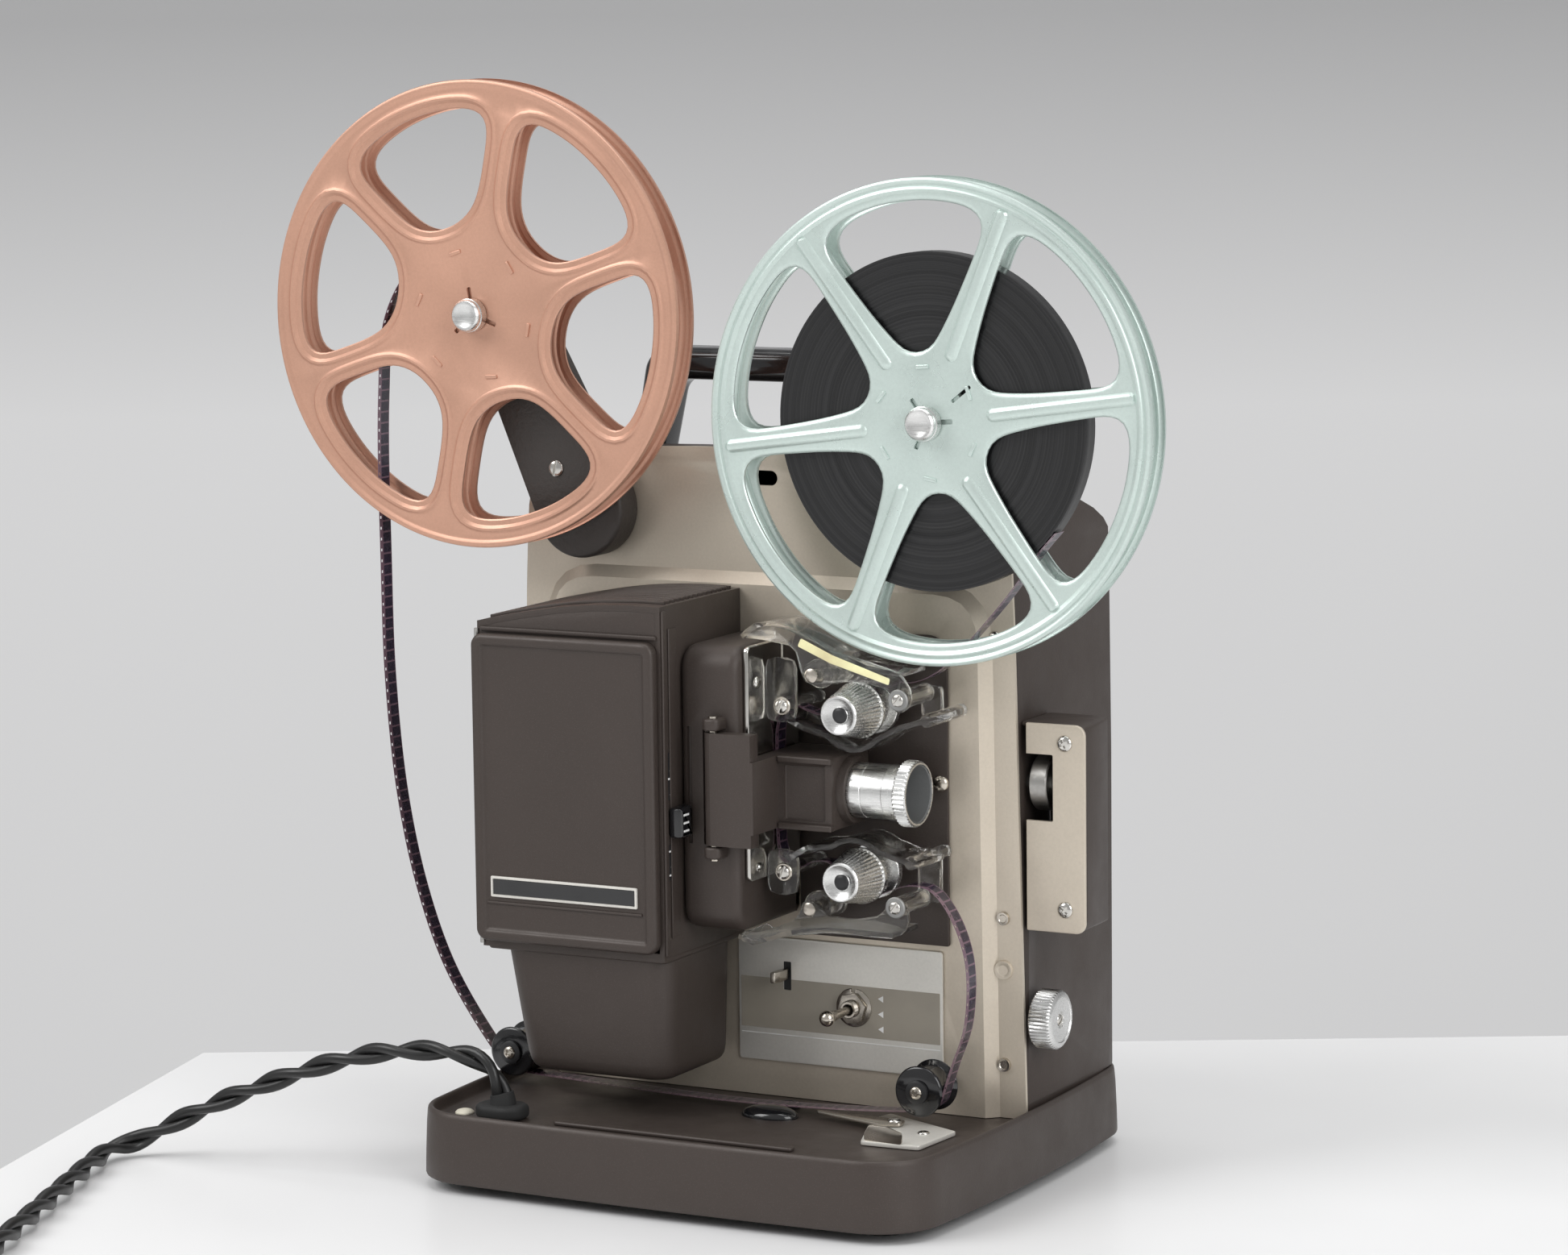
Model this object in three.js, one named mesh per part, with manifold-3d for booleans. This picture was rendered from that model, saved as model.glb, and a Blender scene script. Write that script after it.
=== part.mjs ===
// Silent 8 mm film projector with two 7-inch reels, modelled as an assembly of separate pieces.
// Millimetres. +Z is up, -Y is the operating side, +X is the direction the lens throws light.
// The origin is on the table, under the middle of the machine's outline (its mains lead left out).
import * as THREE from 'three';
import { mergeVertices } from 'three/addons/utils/BufferGeometryUtils.js';
import Module from 'manifold-3d';

const wasm = await Module();
wasm.setup();

// ---------------------------------------------------------------- driving dimensions
const GAP = 0.3;                 // air left between pieces that rest on each other
const SHEET = 1.6;               // thickness of the pressed panels

const FOOT_HEIGHT = 4;
const BASE = { x0: -91.6, x1: 122.9, y0: -98.75, y1: 98.75, bowX: 3, bowY: 1.5, corner: 25 };
const RIM_TOP = 30.5;
const DECK_TOP = 25.5;
const BASE_WALL = 3;

const BODY_MIDDLE = 11.4;        // the upper housing is symmetrical about this X
const BODY_HALF = { foot: 108.3, shoulder: 104.1, neck: 101 };
const BODY_Z = { skirt: RIM_TOP + 0.3, shoulder: 225, neck: 246, corner: 270.5, crown: 274.5 };
const SHELL_REAR = 97.5;
const PANEL_Y = 3.3;             // front face of the outer panel
const PLATEAU_Y = -0.7;          // front face of its raised middle
const PLATEAU = { x0: -79, x1: 105, x1Top: 102.6, z1: 222 };

const REEL_R = 89;               // 7-inch reel
const FILM_Y = -21;              // middle plane of the film path
const FILM_WIDTH = 8;
const FILM_THICK = 0.4;
const TAKEUP_HUB = { x: -96.4, z: 323.3 };
const SUPPLY_HUB = { x: 96.4, z: 288.5 };
const TAKEUP_PIVOT = { x: -61.1, z: 249 };
const SUPPLY_PIVOT = { x: 84, z: 249 };
const ARM_FRONT = -10.75;
const CORE_R = 16;
const PACK_R = 62;               // radius of the wound film on the supply reel

const LENS = { y: FILM_Y, z: 150.5 };
const SPROCKET_X = 66.9;
const SPROCKET_Z = { upper: 181.5, lower: 119.5 };
const MAIN_SHAFT = { y: 18, z: 151.5 };
const MOTOR = { y: 60, z: 70 };
const TILT_SHAFT = { y: 12, z: 63 };
const TILT_FOOT = { x0: 99, x1: 108, y0: 18.8, y1: 26 };

const HOUSE = { x0: -75, x1: 3.5, y0: -63, y1: -1, z0: 88, z1: 221 };
const COVER = { x0: -75.6, x1: 2.4, y0: -67.8, y1: -63.3, z0: 91, z1: 207.5 };
const SHUTTER_BOX = { x0: 3.8, x1: 28, y0: -49.8, y1: -1.3, z0: 98, z1: 205 };
const HINGE = { x: 20, y: -53.5 };   // vertical pins of the lens carriage

const CORD_R = 4.5;
const CORD_REST = 4.8;           // height of the lead's centre line where it lies on the table
const COIL = { x: -236, y: -286, rIn: 36, rOut: 63, height: 18 };

// ---------------------------------------------------------------- materials
const finish = (color, roughness, metalness, extra = {}) =>
  new THREE.MeshStandardMaterial({ color, roughness, metalness, ...extra });
const MAT = {
  brown: finish(0x453c37, 0.55, 0.3),
  champagne: finish(0xb0a593, 0.42, 0.6),
  aluminium: finish(0xc8c9ca, 0.3, 0.9),
  chrome: finish(0xbdb9b2, 0.2, 1),
  steel: finish(0x8b8a88, 0.4, 0.9),
  blackPlastic: finish(0x111214, 0.3, 0),
  rubber: finish(0x1a1a1b, 0.8, 0),
  copper: finish(0xa86f55, 0.42, 0.7),
  mint: finish(0x9fc0b8, 0.38, 0.6),
  film: finish(0x1d191b, 0.35, 0),
  clear: finish(0xe6e4da, 0.08, 0, { transparent: true, opacity: 0.35 }),
  glass: finish(0xf2f4f5, 0.05, 0, { transparent: true, opacity: 0.4 }),
  lead: finish(0x1c1c1c, 0.5, 0),
};

// ---------------------------------------------------------------- solids
const toSolid = (shape) => {
  if (shape.getMesh) return shape;
  const plain = shape.clone();
  for (const name of ['normal', 'uv']) plain.deleteAttribute(name);
  const merged = mergeVertices(plain, 1e-4);
  return new wasm.Manifold(new wasm.Mesh({
    numProp: 3,
    vertProperties: new Float32Array(merged.attributes.position.array),
    triVerts: new Uint32Array(merged.index.array),
  }));
};
const toGeometry = (shape) => {
  if (!shape.getMesh) return shape;
  const { vertProperties, triVerts } = shape.getMesh();
  const geometry = new THREE.BufferGeometry();
  geometry.setAttribute('position', new THREE.BufferAttribute(new Float32Array(vertProperties), 3));
  geometry.setIndex([...triVerts]);
  geometry.computeVertexNormals();
  return geometry;
};
const cut = (body, ...tools) => tools.reduce((sum, tool) => sum.subtract(toSolid(tool)), toSolid(body));
const join = (body, ...more) => more.reduce((sum, piece) => sum.add(toSolid(piece)), toSolid(body));
const common = (body, ...more) => more.reduce((sum, piece) => sum.intersect(toSolid(piece)), toSolid(body));

// An outline is drawn in (y, z) for axis x, in (x, z) for axis y and in (x, y) for axis z.
const AXES = {
  x: new THREE.Matrix4().makeBasis(new THREE.Vector3(0, 1, 0), new THREE.Vector3(0, 0, 1), new THREE.Vector3(1, 0, 0)),
  y: new THREE.Matrix4().makeBasis(new THREE.Vector3(1, 0, 0), new THREE.Vector3(0, 0, 1), new THREE.Vector3(0, -1, 0)),
  z: new THREE.Matrix4(),
};
const prism = (axis, outline, from, to, curveSegments = 3) => {
  const geometry = new THREE.ExtrudeGeometry(outline, { depth: to - from, bevelEnabled: false, curveSegments });
  geometry.translate(0, 0, axis === 'y' ? -to : from);
  return geometry.applyMatrix4(AXES[axis]);
};
const circle = (a, b, radius, sides) => new THREE.Shape(Array.from({ length: sides }, (_, i) => {
  const angle = 2 * Math.PI * i / sides;
  return new THREE.Vector2(a + radius * Math.cos(angle), b + radius * Math.sin(angle));
}));
const rod = (axis, radius, from, to, a, b, sides = 16) =>
  prism(axis, circle(a, b, radius, sides), from, to);
const rect = (a0, a1, b0, b1, radius = 0) => {
  const shape = new THREE.Shape();
  if (radius === 0) {
    shape.moveTo(a0, b0).lineTo(a1, b0).lineTo(a1, b1).lineTo(a0, b1);
    return shape;
  }
  shape.moveTo(a0 + radius, b0).lineTo(a1 - radius, b0);
  shape.absarc(a1 - radius, b0 + radius, radius, -Math.PI / 2, 0);
  shape.absarc(a1 - radius, b1 - radius, radius, 0, Math.PI / 2);
  shape.absarc(a0 + radius, b1 - radius, radius, Math.PI / 2, Math.PI);
  shape.absarc(a0 + radius, b0 + radius, radius, Math.PI, 1.5 * Math.PI);
  return shape;
};
const block = (x0, x1, y0, y1, z0, z1) => prism('z', rect(x0, x1, y0, y1), z0, z1);
const polygon = (points) => new THREE.Shape(points.map(([a, b]) => new THREE.Vector2(a, b)));
// Each point is [a, b] or [a, b, its own corner radius].
const rounded = (points, radius) => {
  const shape = new THREE.Shape();
  points.forEach((point, i) => {
    const [a, b, own = radius] = point;
    const next = points[(i + 1) % points.length];
    const previous = points.at(i - 1);
    const corner = new THREE.Vector2(a, b);
    const before = new THREE.Vector2(previous[0], previous[1]).sub(corner);
    const after = new THREE.Vector2(next[0], next[1]).sub(corner);
    const reach = Math.min(own, before.length() / 2, after.length() / 2);
    const enter = before.setLength(reach).add(corner);
    const leave = after.setLength(reach).add(corner);
    if (i === 0) shape.moveTo(enter.x, enter.y);
    else shape.lineTo(enter.x, enter.y);
    shape.quadraticCurveTo(corner.x, corner.y, leave.x, leave.y);
  });
  return shape;
};
// A turned piece: the profile gives [radius, distance along the axis].
const turned = (axis, profile, a, b, sides = 24) => {
  const geometry = new THREE.LatheGeometry(profile.map(([r, t]) => new THREE.Vector2(r, t)), sides);
  if (axis === 'x') geometry.rotateZ(-Math.PI / 2).translate(0, a, b);
  if (axis === 'y') geometry.translate(a, 0, b);
  if (axis === 'z') geometry.rotateX(Math.PI / 2).translate(a, b, 0);
  return geometry;
};
// A thin strip seen edge-on: a smooth line through points in (x, z), given a thickness, as wide as from..to in Y.
const strip = (points, thickness, from, to, perPoint = 1) => {
  const line = new THREE.CatmullRomCurve3(points.map(([x, z]) => new THREE.Vector3(x, z, 0)), false, 'centripetal');
  const sides = [[], []];
  const divisions = (points.length - 1) * perPoint;
  for (let i = 0; i <= divisions; i += 1) {
    const at = line.getPoint(i / divisions);
    const along = line.getTangent(i / divisions);
    sides[0].push([at.x - along.y * thickness / 2, at.y + along.x * thickness / 2]);
    sides[1].unshift([at.x + along.y * thickness / 2, at.y - along.x * thickness / 2]);
  }
  return prism('y', polygon([...sides[0], ...sides[1]]), from, to);
};
const polar = (centre, radius, degrees) => {
  const angle = THREE.MathUtils.degToRad(degrees);
  return [centre.x + radius * Math.cos(angle), centre.z + radius * Math.sin(angle)];
};
const arc = (centre, radius, from, to, count) =>
  Array.from({ length: count + 1 }, (_, i) => polar(centre, radius, from + (to - from) * i / count));
// A tapered box: rounded rectangles at rising heights, joined by flat sides.
const tapered = (sections, corner, steps = 3) => {
  const rings = sections.map(({ z, x0, x1, y0, y1 }) => {
    const outline = rect(x0, x1, y0, y1, corner).getPoints(steps);
    const ring = outline.filter((p, i) => i === 0 || p.distanceTo(outline[i - 1]) > 1e-6);
    if (ring[0].distanceTo(ring.at(-1)) < 1e-6) ring.pop();
    return ring.map((p) => [p.x, p.y, z]);
  });
  const count = rings[0].length;
  const points = rings.flat();
  const faces = [];
  for (let level = 0; level < rings.length - 1; level += 1) {
    for (let i = 0; i < count; i += 1) {
      const a = level * count + i;
      const b = level * count + ((i + 1) % count);
      faces.push(a, b, b + count, a, b + count, a + count);
    }
  }
  const top = (rings.length - 1) * count;
  for (let i = 1; i < count - 1; i += 1) {
    faces.push(0, i + 1, i, top, top + i, top + i + 1);
  }
  const geometry = new THREE.BufferGeometry();
  geometry.setAttribute('position', new THREE.Float32BufferAttribute(points.flat(), 3));
  geometry.setIndex(faces);
  geometry.computeVertexNormals();
  return geometry;
};

// ---------------------------------------------------------------- scene graph
const projector = new THREE.Group();
const add = (name, shape, material) => {
  const mesh = new THREE.Mesh(toGeometry(shape), material);
  mesh.name = name;
  projector.add(mesh);
};

// ---------------------------------------------------------------- base tray and feet
const basePlan = (inset) => {
  const { x0, x1, y0, y1, bowX, bowY, corner } = BASE;
  const [l, r, f, b] = [x0 + inset, x1 - inset, y0 + inset, y1 - inset];
  const c = corner - inset;
  const [mx, my] = [(l + r) / 2, (f + b) / 2];
  const shape = new THREE.Shape();
  shape.moveTo(l + c, f).quadraticCurveTo(mx, f - 2 * bowY, r - c, f);
  shape.absarc(r - c, f + c, c, -Math.PI / 2, 0).quadraticCurveTo(r + 2 * bowX, my, r, b - c);
  shape.absarc(r - c, b - c, c, 0, Math.PI / 2).quadraticCurveTo(mx, b + 2 * bowY, l + c, b);
  shape.absarc(l + c, b - c, c, Math.PI / 2, Math.PI).quadraticCurveTo(l - 2 * bowX, my, l, f + c);
  shape.absarc(l + c, f + c, c, Math.PI, 1.5 * Math.PI);
  return shape;
};
const FEET = {
  foot_front_left: [-69, -76],
  foot_front_right: [100, -76],
  foot_rear_left: [-69, 76],
  foot_rear_right: [100, 76],
};
const CORD_EXIT = { x: -60.6, y: -75.4 };
const DECK_UNDER = DECK_TOP - BASE_WALL;

const baseTray = () => {
  const tray = cut(
    prism('z', basePlan(0), FOOT_HEIGHT, RIM_TOP, 4),
    prism('z', basePlan(BASE_WALL), DECK_TOP, RIM_TOP + 1, 4),
    prism('z', basePlan(BASE_WALL), FOOT_HEIGHT - 1, DECK_UNDER, 4),
  );
  const bosses = Object.values(FEET).map(([x, y]) => rod('z', 8, FOOT_HEIGHT, DECK_UNDER + 1, x, y, 12));
  const step = block(-36, 62.5, -77.5, -73.5, DECK_TOP - 0.5, DECK_TOP + 1);
  const { x0, x1, y0, y1 } = TILT_FOOT;
  return cut(
    join(tray, ...bosses, step),
    rod('z', 5.2, 0, RIM_TOP, CORD_EXIT.x, CORD_EXIT.y, 16),
    block(x0 - 0.6, x1 + 0.6, y0 - 0.6, y1 + 0.6, 0, RIM_TOP),
  );
};
add('base_tray', baseTray(), MAT.brown);
for (const [name, [x, y]] of Object.entries(FEET)) {
  const profile = [[0, 0], [8.2, 0], [9, 1], [9, FOOT_HEIGHT - GAP], [0, FOOT_HEIGHT - GAP]];
  add(name, turned('z', profile, x, y, 14), MAT.rubber);
}

// ---------------------------------------------------------------- upper housing
const bodyOutline = (inset, bottom) => {
  const at = (half) => [BODY_MIDDLE - half + inset, BODY_MIDDLE + half - inset];
  const foot = at(BODY_HALF.foot);
  const shoulder = at(BODY_HALF.shoulder);
  const neck = at(BODY_HALF.neck);
  return rounded([
    [foot[0], bottom, 0.01], [foot[1], bottom, 0.01], [shoulder[1], BODY_Z.shoulder, 20],
    [neck[1], BODY_Z.corner - inset, 24], [BODY_MIDDLE, BODY_Z.crown - inset, 60],
    [neck[0], BODY_Z.corner - inset, 24], [shoulder[0], BODY_Z.shoulder, 20],
  ], 1);
};
const roofProfile = (inset) => rounded([
  [-20, 0, 0.01], [SHELL_REAR - inset, 0, 0.01], [SHELL_REAR - inset, 240 - inset, 20],
  [9, 274.5 - inset, 4], [-20, 275 - inset, 0.01],
], 1);
const housingSolid = (inset, from) => {
  const across = [BODY_MIDDLE - 115, BODY_MIDDLE + 115];
  const plan = rect(BODY_MIDDLE - BODY_HALF.foot + inset, BODY_MIDDLE + BODY_HALF.foot - inset,
    -60, SHELL_REAR - inset, 20 - inset);
  const bottom = inset ? DECK_TOP - 3 : BODY_Z.skirt;
  const main = common(
    prism('y', bodyOutline(inset, bottom), from, SHELL_REAR - inset, 5),
    prism('x', roofProfile(inset), ...across, 4),
    prism('z', plan, bottom, 300, 3),
  );
  return main;
};
const SHELL_FRONT = PANEL_Y + SHEET + GAP;
const SKIRT = { inset: BASE_WALL + GAP, thickness: 2 };
const skirtSolid = (extra, from, bottom, top) => common(
  prism('z', basePlan(SKIRT.inset + extra), bottom, top, 4),
  block(-130, 150, from, 110, bottom, top),
);
const WHEEL_BOX = { x1: 143.5, z0: 97.5, z1: 175.5, plateX: 119.6, rear: 31.5 };
const rearShell = () => {
  const outside = join(
    common(housingSolid(0, SHELL_FRONT), block(-130, 150, SHELL_FRONT, 120, 0, 300)),
    common(skirtSolid(0, SHELL_FRONT, DECK_TOP + GAP, BODY_Z.skirt + 0.5), housingFoot(0)),
  );
  const inside = cut(
    housingSolid(2, SHELL_FRONT - 1),
    cut(block(-130, 150, -10, 110, 0, BODY_Z.skirt + 2), common(
      skirtSolid(2, SHELL_FRONT - 1, DECK_TOP - 2, BODY_Z.skirt + 3), housingFoot(2),
    )),
  );
  return cut(
    outside,
    inside,
    rod('x', 5, 100, 130, MAIN_SHAFT.y, MAIN_SHAFT.z, 16),
    rod('x', 4, 100, 130, TILT_SHAFT.y, TILT_SHAFT.z, 12),
  );
};
const housingFoot = (inset) => prism('y', rect(BODY_MIDDLE - BODY_HALF.foot + inset,
  BODY_MIDDLE + BODY_HALF.foot - inset, 20, 40), -10, 110);

const plateauSolid = (face, inset) => {
  const rise = 4;
  const outline = rounded([
    [PLATEAU.x0 + inset, 0, 0.01], [PLATEAU.x1 - inset, 0, 0.01],
    [PLATEAU.x1Top - inset, PLATEAU.z1 - inset, 18], [PLATEAU.x0 + inset, PLATEAU.z1 - inset, 18],
  ], 18);
  const geometry = new THREE.ExtrudeGeometry(outline, {
    depth: 1, bevelThickness: rise, bevelSize: rise + 0.3, bevelSegments: 1, curveSegments: 5,
  });
  geometry.applyMatrix4(AXES.y).translate(0, face + 1 + rise, 0);
  return common(geometry, block(-120, 140, face - 1, face + rise, DECK_TOP + GAP, 300));
};
const SHUTTER_X = { disc: 15, half: 0.8 };
const frontPanel = () => {
  const low = prism('z', basePlan(SKIRT.inset), DECK_TOP + GAP, BODY_Z.skirt + 0.2, 4);
  const band = block(-130, 150, PANEL_Y, PANEL_Y + SHEET, DECK_TOP + GAP, BODY_Z.skirt + 0.2);
  const sheet = join(
    prism('y', bodyOutline(0, BODY_Z.skirt), PANEL_Y, PANEL_Y + SHEET, 5),
    common(common(low, band), housingFoot(0)),
  );
  const pressed = cut(join(sheet, plateauSolid(PLATEAU_Y, 0)), plateauSolid(PLATEAU_Y + SHEET, SHEET));
  const lugs = [[32, 37], [96, 101]].map(([x0, x1]) => cut(
    block(x0, x1, PLATEAU_Y + SHEET - 0.5, MAIN_SHAFT.y + 9, MAIN_SHAFT.z - 9, MAIN_SHAFT.z + 9),
    rod('x', 4.3, x0 - 1, x1 + 1, MAIN_SHAFT.y, MAIN_SHAFT.z, 16),
  ));
  return cut(
    join(pressed, ...lugs),
    prism('y', rect(7.7, 17.9, 259.4, 265.1, 2.8), 0, 10),
    block(9, 21, -5, 6, 103, 200),
    rod('y', 3.4, -5, 8, SPROCKET_X, SPROCKET_Z.upper, 12),
    rod('y', 3.4, -5, 8, SPROCKET_X, SPROCKET_Z.lower, 12),
  );
};
add('front_panel', frontPanel(), MAT.champagne);
add('rear_shell', rearShell(), MAT.brown);

const PLATE_BACK = PLATEAU_Y - GAP;
const mechanismPlate = () => cut(
  prism('y', rounded([[28.5, 90, 1], [91, 90, 1], [91, 207, 8], [28.5, 207, 1]], 1), PLATE_BACK - 1.2, PLATE_BACK),
  rod('y', 3.4, -5, 2, SPROCKET_X, SPROCKET_Z.upper, 12),
  rod('y', 3.4, -5, 2, SPROCKET_X, SPROCKET_Z.lower, 12),
);
add('mechanism_plate', mechanismPlate(), MAT.brown);
add('label_plate', prism('y', rect(1.4, 87.9, 39.6, 87.6, 1), PLATE_BACK - 1, PLATE_BACK, 1), MAT.aluminium);
const PLATE_FACE = PLATE_BACK - 1.2;
const LABEL_FACE = PLATE_BACK - 1;

// ---------------------------------------------------------------- inching wheel box on the side
const sideBracket = () => cut(
  prism('y', rect(WHEEL_BOX.plateX, WHEEL_BOX.x1, WHEEL_BOX.z0, WHEEL_BOX.z1, 4), 4.9, 6.5, 2),
  prism('y', rect(118, 130.6, 139, 164), 0, 10),
);
const sideBoxCover = () => {
  const cover = (inset) => prism('y', rounded([
    [100, WHEEL_BOX.z0 + inset, 0.01], [WHEEL_BOX.x1 - inset, WHEEL_BOX.z0 + inset, 5],
    [WHEEL_BOX.x1 - inset, WHEEL_BOX.z1 - inset, 5], [100, WHEEL_BOX.z1 - inset, 0.01],
  ], 5), inset ? 0 : 6.8, WHEEL_BOX.rear - inset, 2);
  const taper = (inset) => prism('z', polygon([
    [90, 6.8 - 2 * inset], [143.5 - inset, 6.8 - 2 * inset], [141 - inset, WHEEL_BOX.rear - inset],
    [90, WHEEL_BOX.rear - inset],
  ]), 90, 180);
  const shellRoom = prism('y', bodyOutline(-GAP, BODY_Z.skirt), -10, 120, 5);
  return cut(common(cover(0), taper(0)), common(cover(1.6), taper(1.6)), shellRoom);
};
add('side_bracket_plate', sideBracket(), MAT.champagne);
add('side_box_cover', sideBoxCover(), MAT.brown);

// ---------------------------------------------------------------- carrying handle
const HANDLE = { half: [62.9, 71.9], x: 11.4, z0: 240, z1: 308.5, leg: 12, bar: 12.5, y0: 26, y1: 44 };
const carryHandle = () => {
  const { half, x, z0, z1, leg, bar, y0, y1 } = HANDLE;
  const wide = half[1] + 3.5;
  const hoop = cut(
    prism('y', rounded([[x - wide, z0, 0.1], [x + wide, z0, 0.1], [x + half[0], z1, 9], [x - half[0], z1, 9]], 9),
      y0, y1, 4),
    prism('y', rounded([
      [x - wide + leg, z0 - 5, 0.1], [x + wide - leg, z0 - 5, 0.1],
      [x + half[0] - leg, z1 - bar, 5], [x - half[0] + leg, z1 - bar, 5],
    ], 5), y0 - 1, y1 + 1, 3),
  );
  const shell = housingSolid(0, -20).translate([0, 0, GAP]);
  return cut(hoop, shell, block(-100, 120, 0, 80, 200, 250));
};
add('carry_handle', carryHandle(), MAT.blackPlastic);

// ---------------------------------------------------------------- reel arms and reels
const ARM_BACK = PANEL_Y - GAP;
const reelArm = (pivot, hub, rootR, tipR) => {
  const away = Math.atan2(hub.z - pivot.z, hub.x - pivot.x);
  const length = Math.hypot(hub.z - pivot.z, hub.x - pivot.x);
  const lean = Math.asin((rootR - tipR) / length);
  const outline = new THREE.Shape();
  outline.absarc(pivot.x, pivot.z, rootR, away + Math.PI / 2 - lean, away - Math.PI / 2 + lean + 2 * Math.PI);
  outline.absarc(hub.x, hub.z, tipR, away - Math.PI / 2 + lean, away + Math.PI / 2 - lean);
  return cut(
    prism('y', outline, ARM_FRONT, ARM_BACK, 8),
    rod('y', 4.2, ARM_FRONT - 1, ARM_FRONT + 8, hub.x, hub.z, 12),
  );
};
add('takeup_arm', reelArm(TAKEUP_PIVOT, TAKEUP_HUB, 19, 14.5), MAT.brown);
add('supply_arm', reelArm(SUPPLY_PIVOT, SUPPLY_HUB, 19, 14.5), MAT.brown);

const REELS = {
  takeup: { hub: TAKEUP_HUB, front: -26.75, back: -13.6, spokeAt: 18.8, material: MAT.copper },
  supply: { hub: SUPPLY_HUB, front: -28.75, back: -15.2, spokeAt: 7.9, material: MAT.mint },
};
const FLANGE = 1.5;
const BORE_R = 4.2;
// Half of an opening's outline, as [distance from the hub, degrees from the opening's middle].
const OPENINGS = {
  takeup: [[34.5, 0], [35.2, 8], [37, 13.5], [41, 19.3], [47, 22.4], [60, 24.4], [71, 24.7], [75.6, 23.2],
    [77.8, 19], [78.4, 9.5], [78.4, 0]],
  supply: [[25.6, 0], [26.2, 8], [28.2, 12.8], [32, 16.4], [39, 20.3], [46, 22.6], [55, 24.3], [65, 25.5],
    [73, 25.8], [77.4, 24.6], [79.9, 20.5], [80.6, 10], [80.6, 0]],
};
const flangeShape = (hub, spokeAt, half) => {
  const shape = circle(hub.x, hub.z, REEL_R, 48);
  for (let i = 0; i < 6; i += 1) {
    const middle = spokeAt + 30 + 60 * i;
    const left = half.map(([r, degrees]) => polar(hub, r, middle + degrees));
    const right = half.slice(1, -1).map(([r, degrees]) => polar(hub, r, middle - degrees)).reverse();
    shape.holes.push(polygon([...left, ...right]));
  }
  shape.holes.push(circle(hub.x, hub.z, BORE_R, 12));
  return shape;
};
for (const [side, { hub, front, back, spokeAt, material }] of Object.entries(REELS)) {
  const shape = flangeShape(hub, spokeAt, OPENINGS[side]);
  add(`${side}_reel_front`, prism('y', shape, front, front + FLANGE, 2), material);
  const core = rod('y', CORE_R, front + FLANGE + GAP, back - FLANGE + 0.5, hub.x, hub.z, 20);
  const bore = rod('y', BORE_R, front, back, hub.x, hub.z, 12);
  add(`${side}_reel_rear`, join(prism('y', shape, back - FLANGE, back, 2), cut(core, bore)), material);
  const spindle = [
    [0, front - 6.5], [5.2, front - 6.5], [6.4, front - 5.3], [6.4, front - 0.3], [3.9, front - 0.3],
    [3.9, ARM_FRONT + 7], [0, ARM_FRONT + 7],
  ];
  add(`${side}_spindle`, turned('y', spindle, hub.x, hub.z, 20), MAT.aluminium);
}
const filmPack = () => cut(
  rod('y', PACK_R, FILM_Y - 5, FILM_Y + 3, SUPPLY_HUB.x, SUPPLY_HUB.z, 36),
  rod('y', CORE_R + GAP + 0.2, FILM_Y - 6, FILM_Y + 4, SUPPLY_HUB.x, SUPPLY_HUB.z, 20),
);
add('film_pack', filmPack(), MAT.film);

// ---------------------------------------------------------------- lamp house
// The roof line from right to left: level over the lamp, then falling to the left.
const CROWN = [[3.5, 220.6], [-10, 220.8], [-25, 220.2], [-40, 218.6], [-55, 216], [-67, 213.6], [-75, 211.8]];
const lampHouse = () => {
  const { x0, x1, y0, y1, z0 } = HOUSE;
  const box = prism('y', polygon([[x0, z0], [x1, z0], ...CROWN]), y0, y1);
  const bucket = tapered([
    { z: 41, x0: -61, x1: 2, y0: -60, y1: -7 },
    { z: z0 + 1, x0: -69, x1: 3, y0: -61.5, y1: -6 },
  ], 10);
  const bucketRoom = tapered([
    { z: 43, x0: -59, x1: 0, y0: -58, y1: -9 },
    { z: z0 - 1, x0: -67, x1: 1, y0: -59.5, y1: -8 },
  ], 9);
  const ceiling = CROWN.map(([x, z]) => [Math.max(x0 + 2, Math.min(x1 - 2, x)), z - 2.3]);
  const room = prism('y', polygon([[x0 + 2, z0 + 3], [x1 - 2, z0 + 3], ...ceiling]), y0 - 1, y1 - 2);
  const vents = [-66, -46, -26].map((x) => block(x, x + 8, -50, -12, z0 - 3, z0 + 5));
  return cut(join(box, bucket), room, bucketRoom, ...vents, rod('x', 8, x1 - 3, x1 + 1, LENS.y, LENS.z, 16));
};
add('lamp_house', lampHouse(), MAT.brown);
const lampCover = () => {
  const { x0, x1, y0, y1, z0, z1 } = COVER;
  return cut(
    prism('y', rect(x0, x1, z0, z1, 4), y0, y1, 3),
    prism('y', rect(x0 + 5.1, x1 - 4.4, z0 + 5, z1 - 4, 3), y0 - 1, y0 + 1.2, 3),
    block(x0 + 3, x1 - 3, y1 - 1.5, y1 + 1, z0 + 3, z1 - 3),
  );
};
add('lamp_house_cover', lampCover(), MAT.brown);
const LAMP = { x: -12, y: -32, z0: HOUSE.z0 + 3 + GAP };
add('lamp_bulb', turned('z', [
  [0, 0], [9, 0], [9, 20], [12, 26], [12, 68], [8, 76], [0, 79],
].map(([r, t]) => [r, t + LAMP.z0]), LAMP.x, LAMP.y, 16), MAT.glass);
add('function_lever', prism('y', rounded([[3.8, 134], [7, 134], [10, 137], [10, 143], [7, 146], [3.8, 146]], 1),
  -60, -51.5, 1), MAT.blackPlastic);

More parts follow.
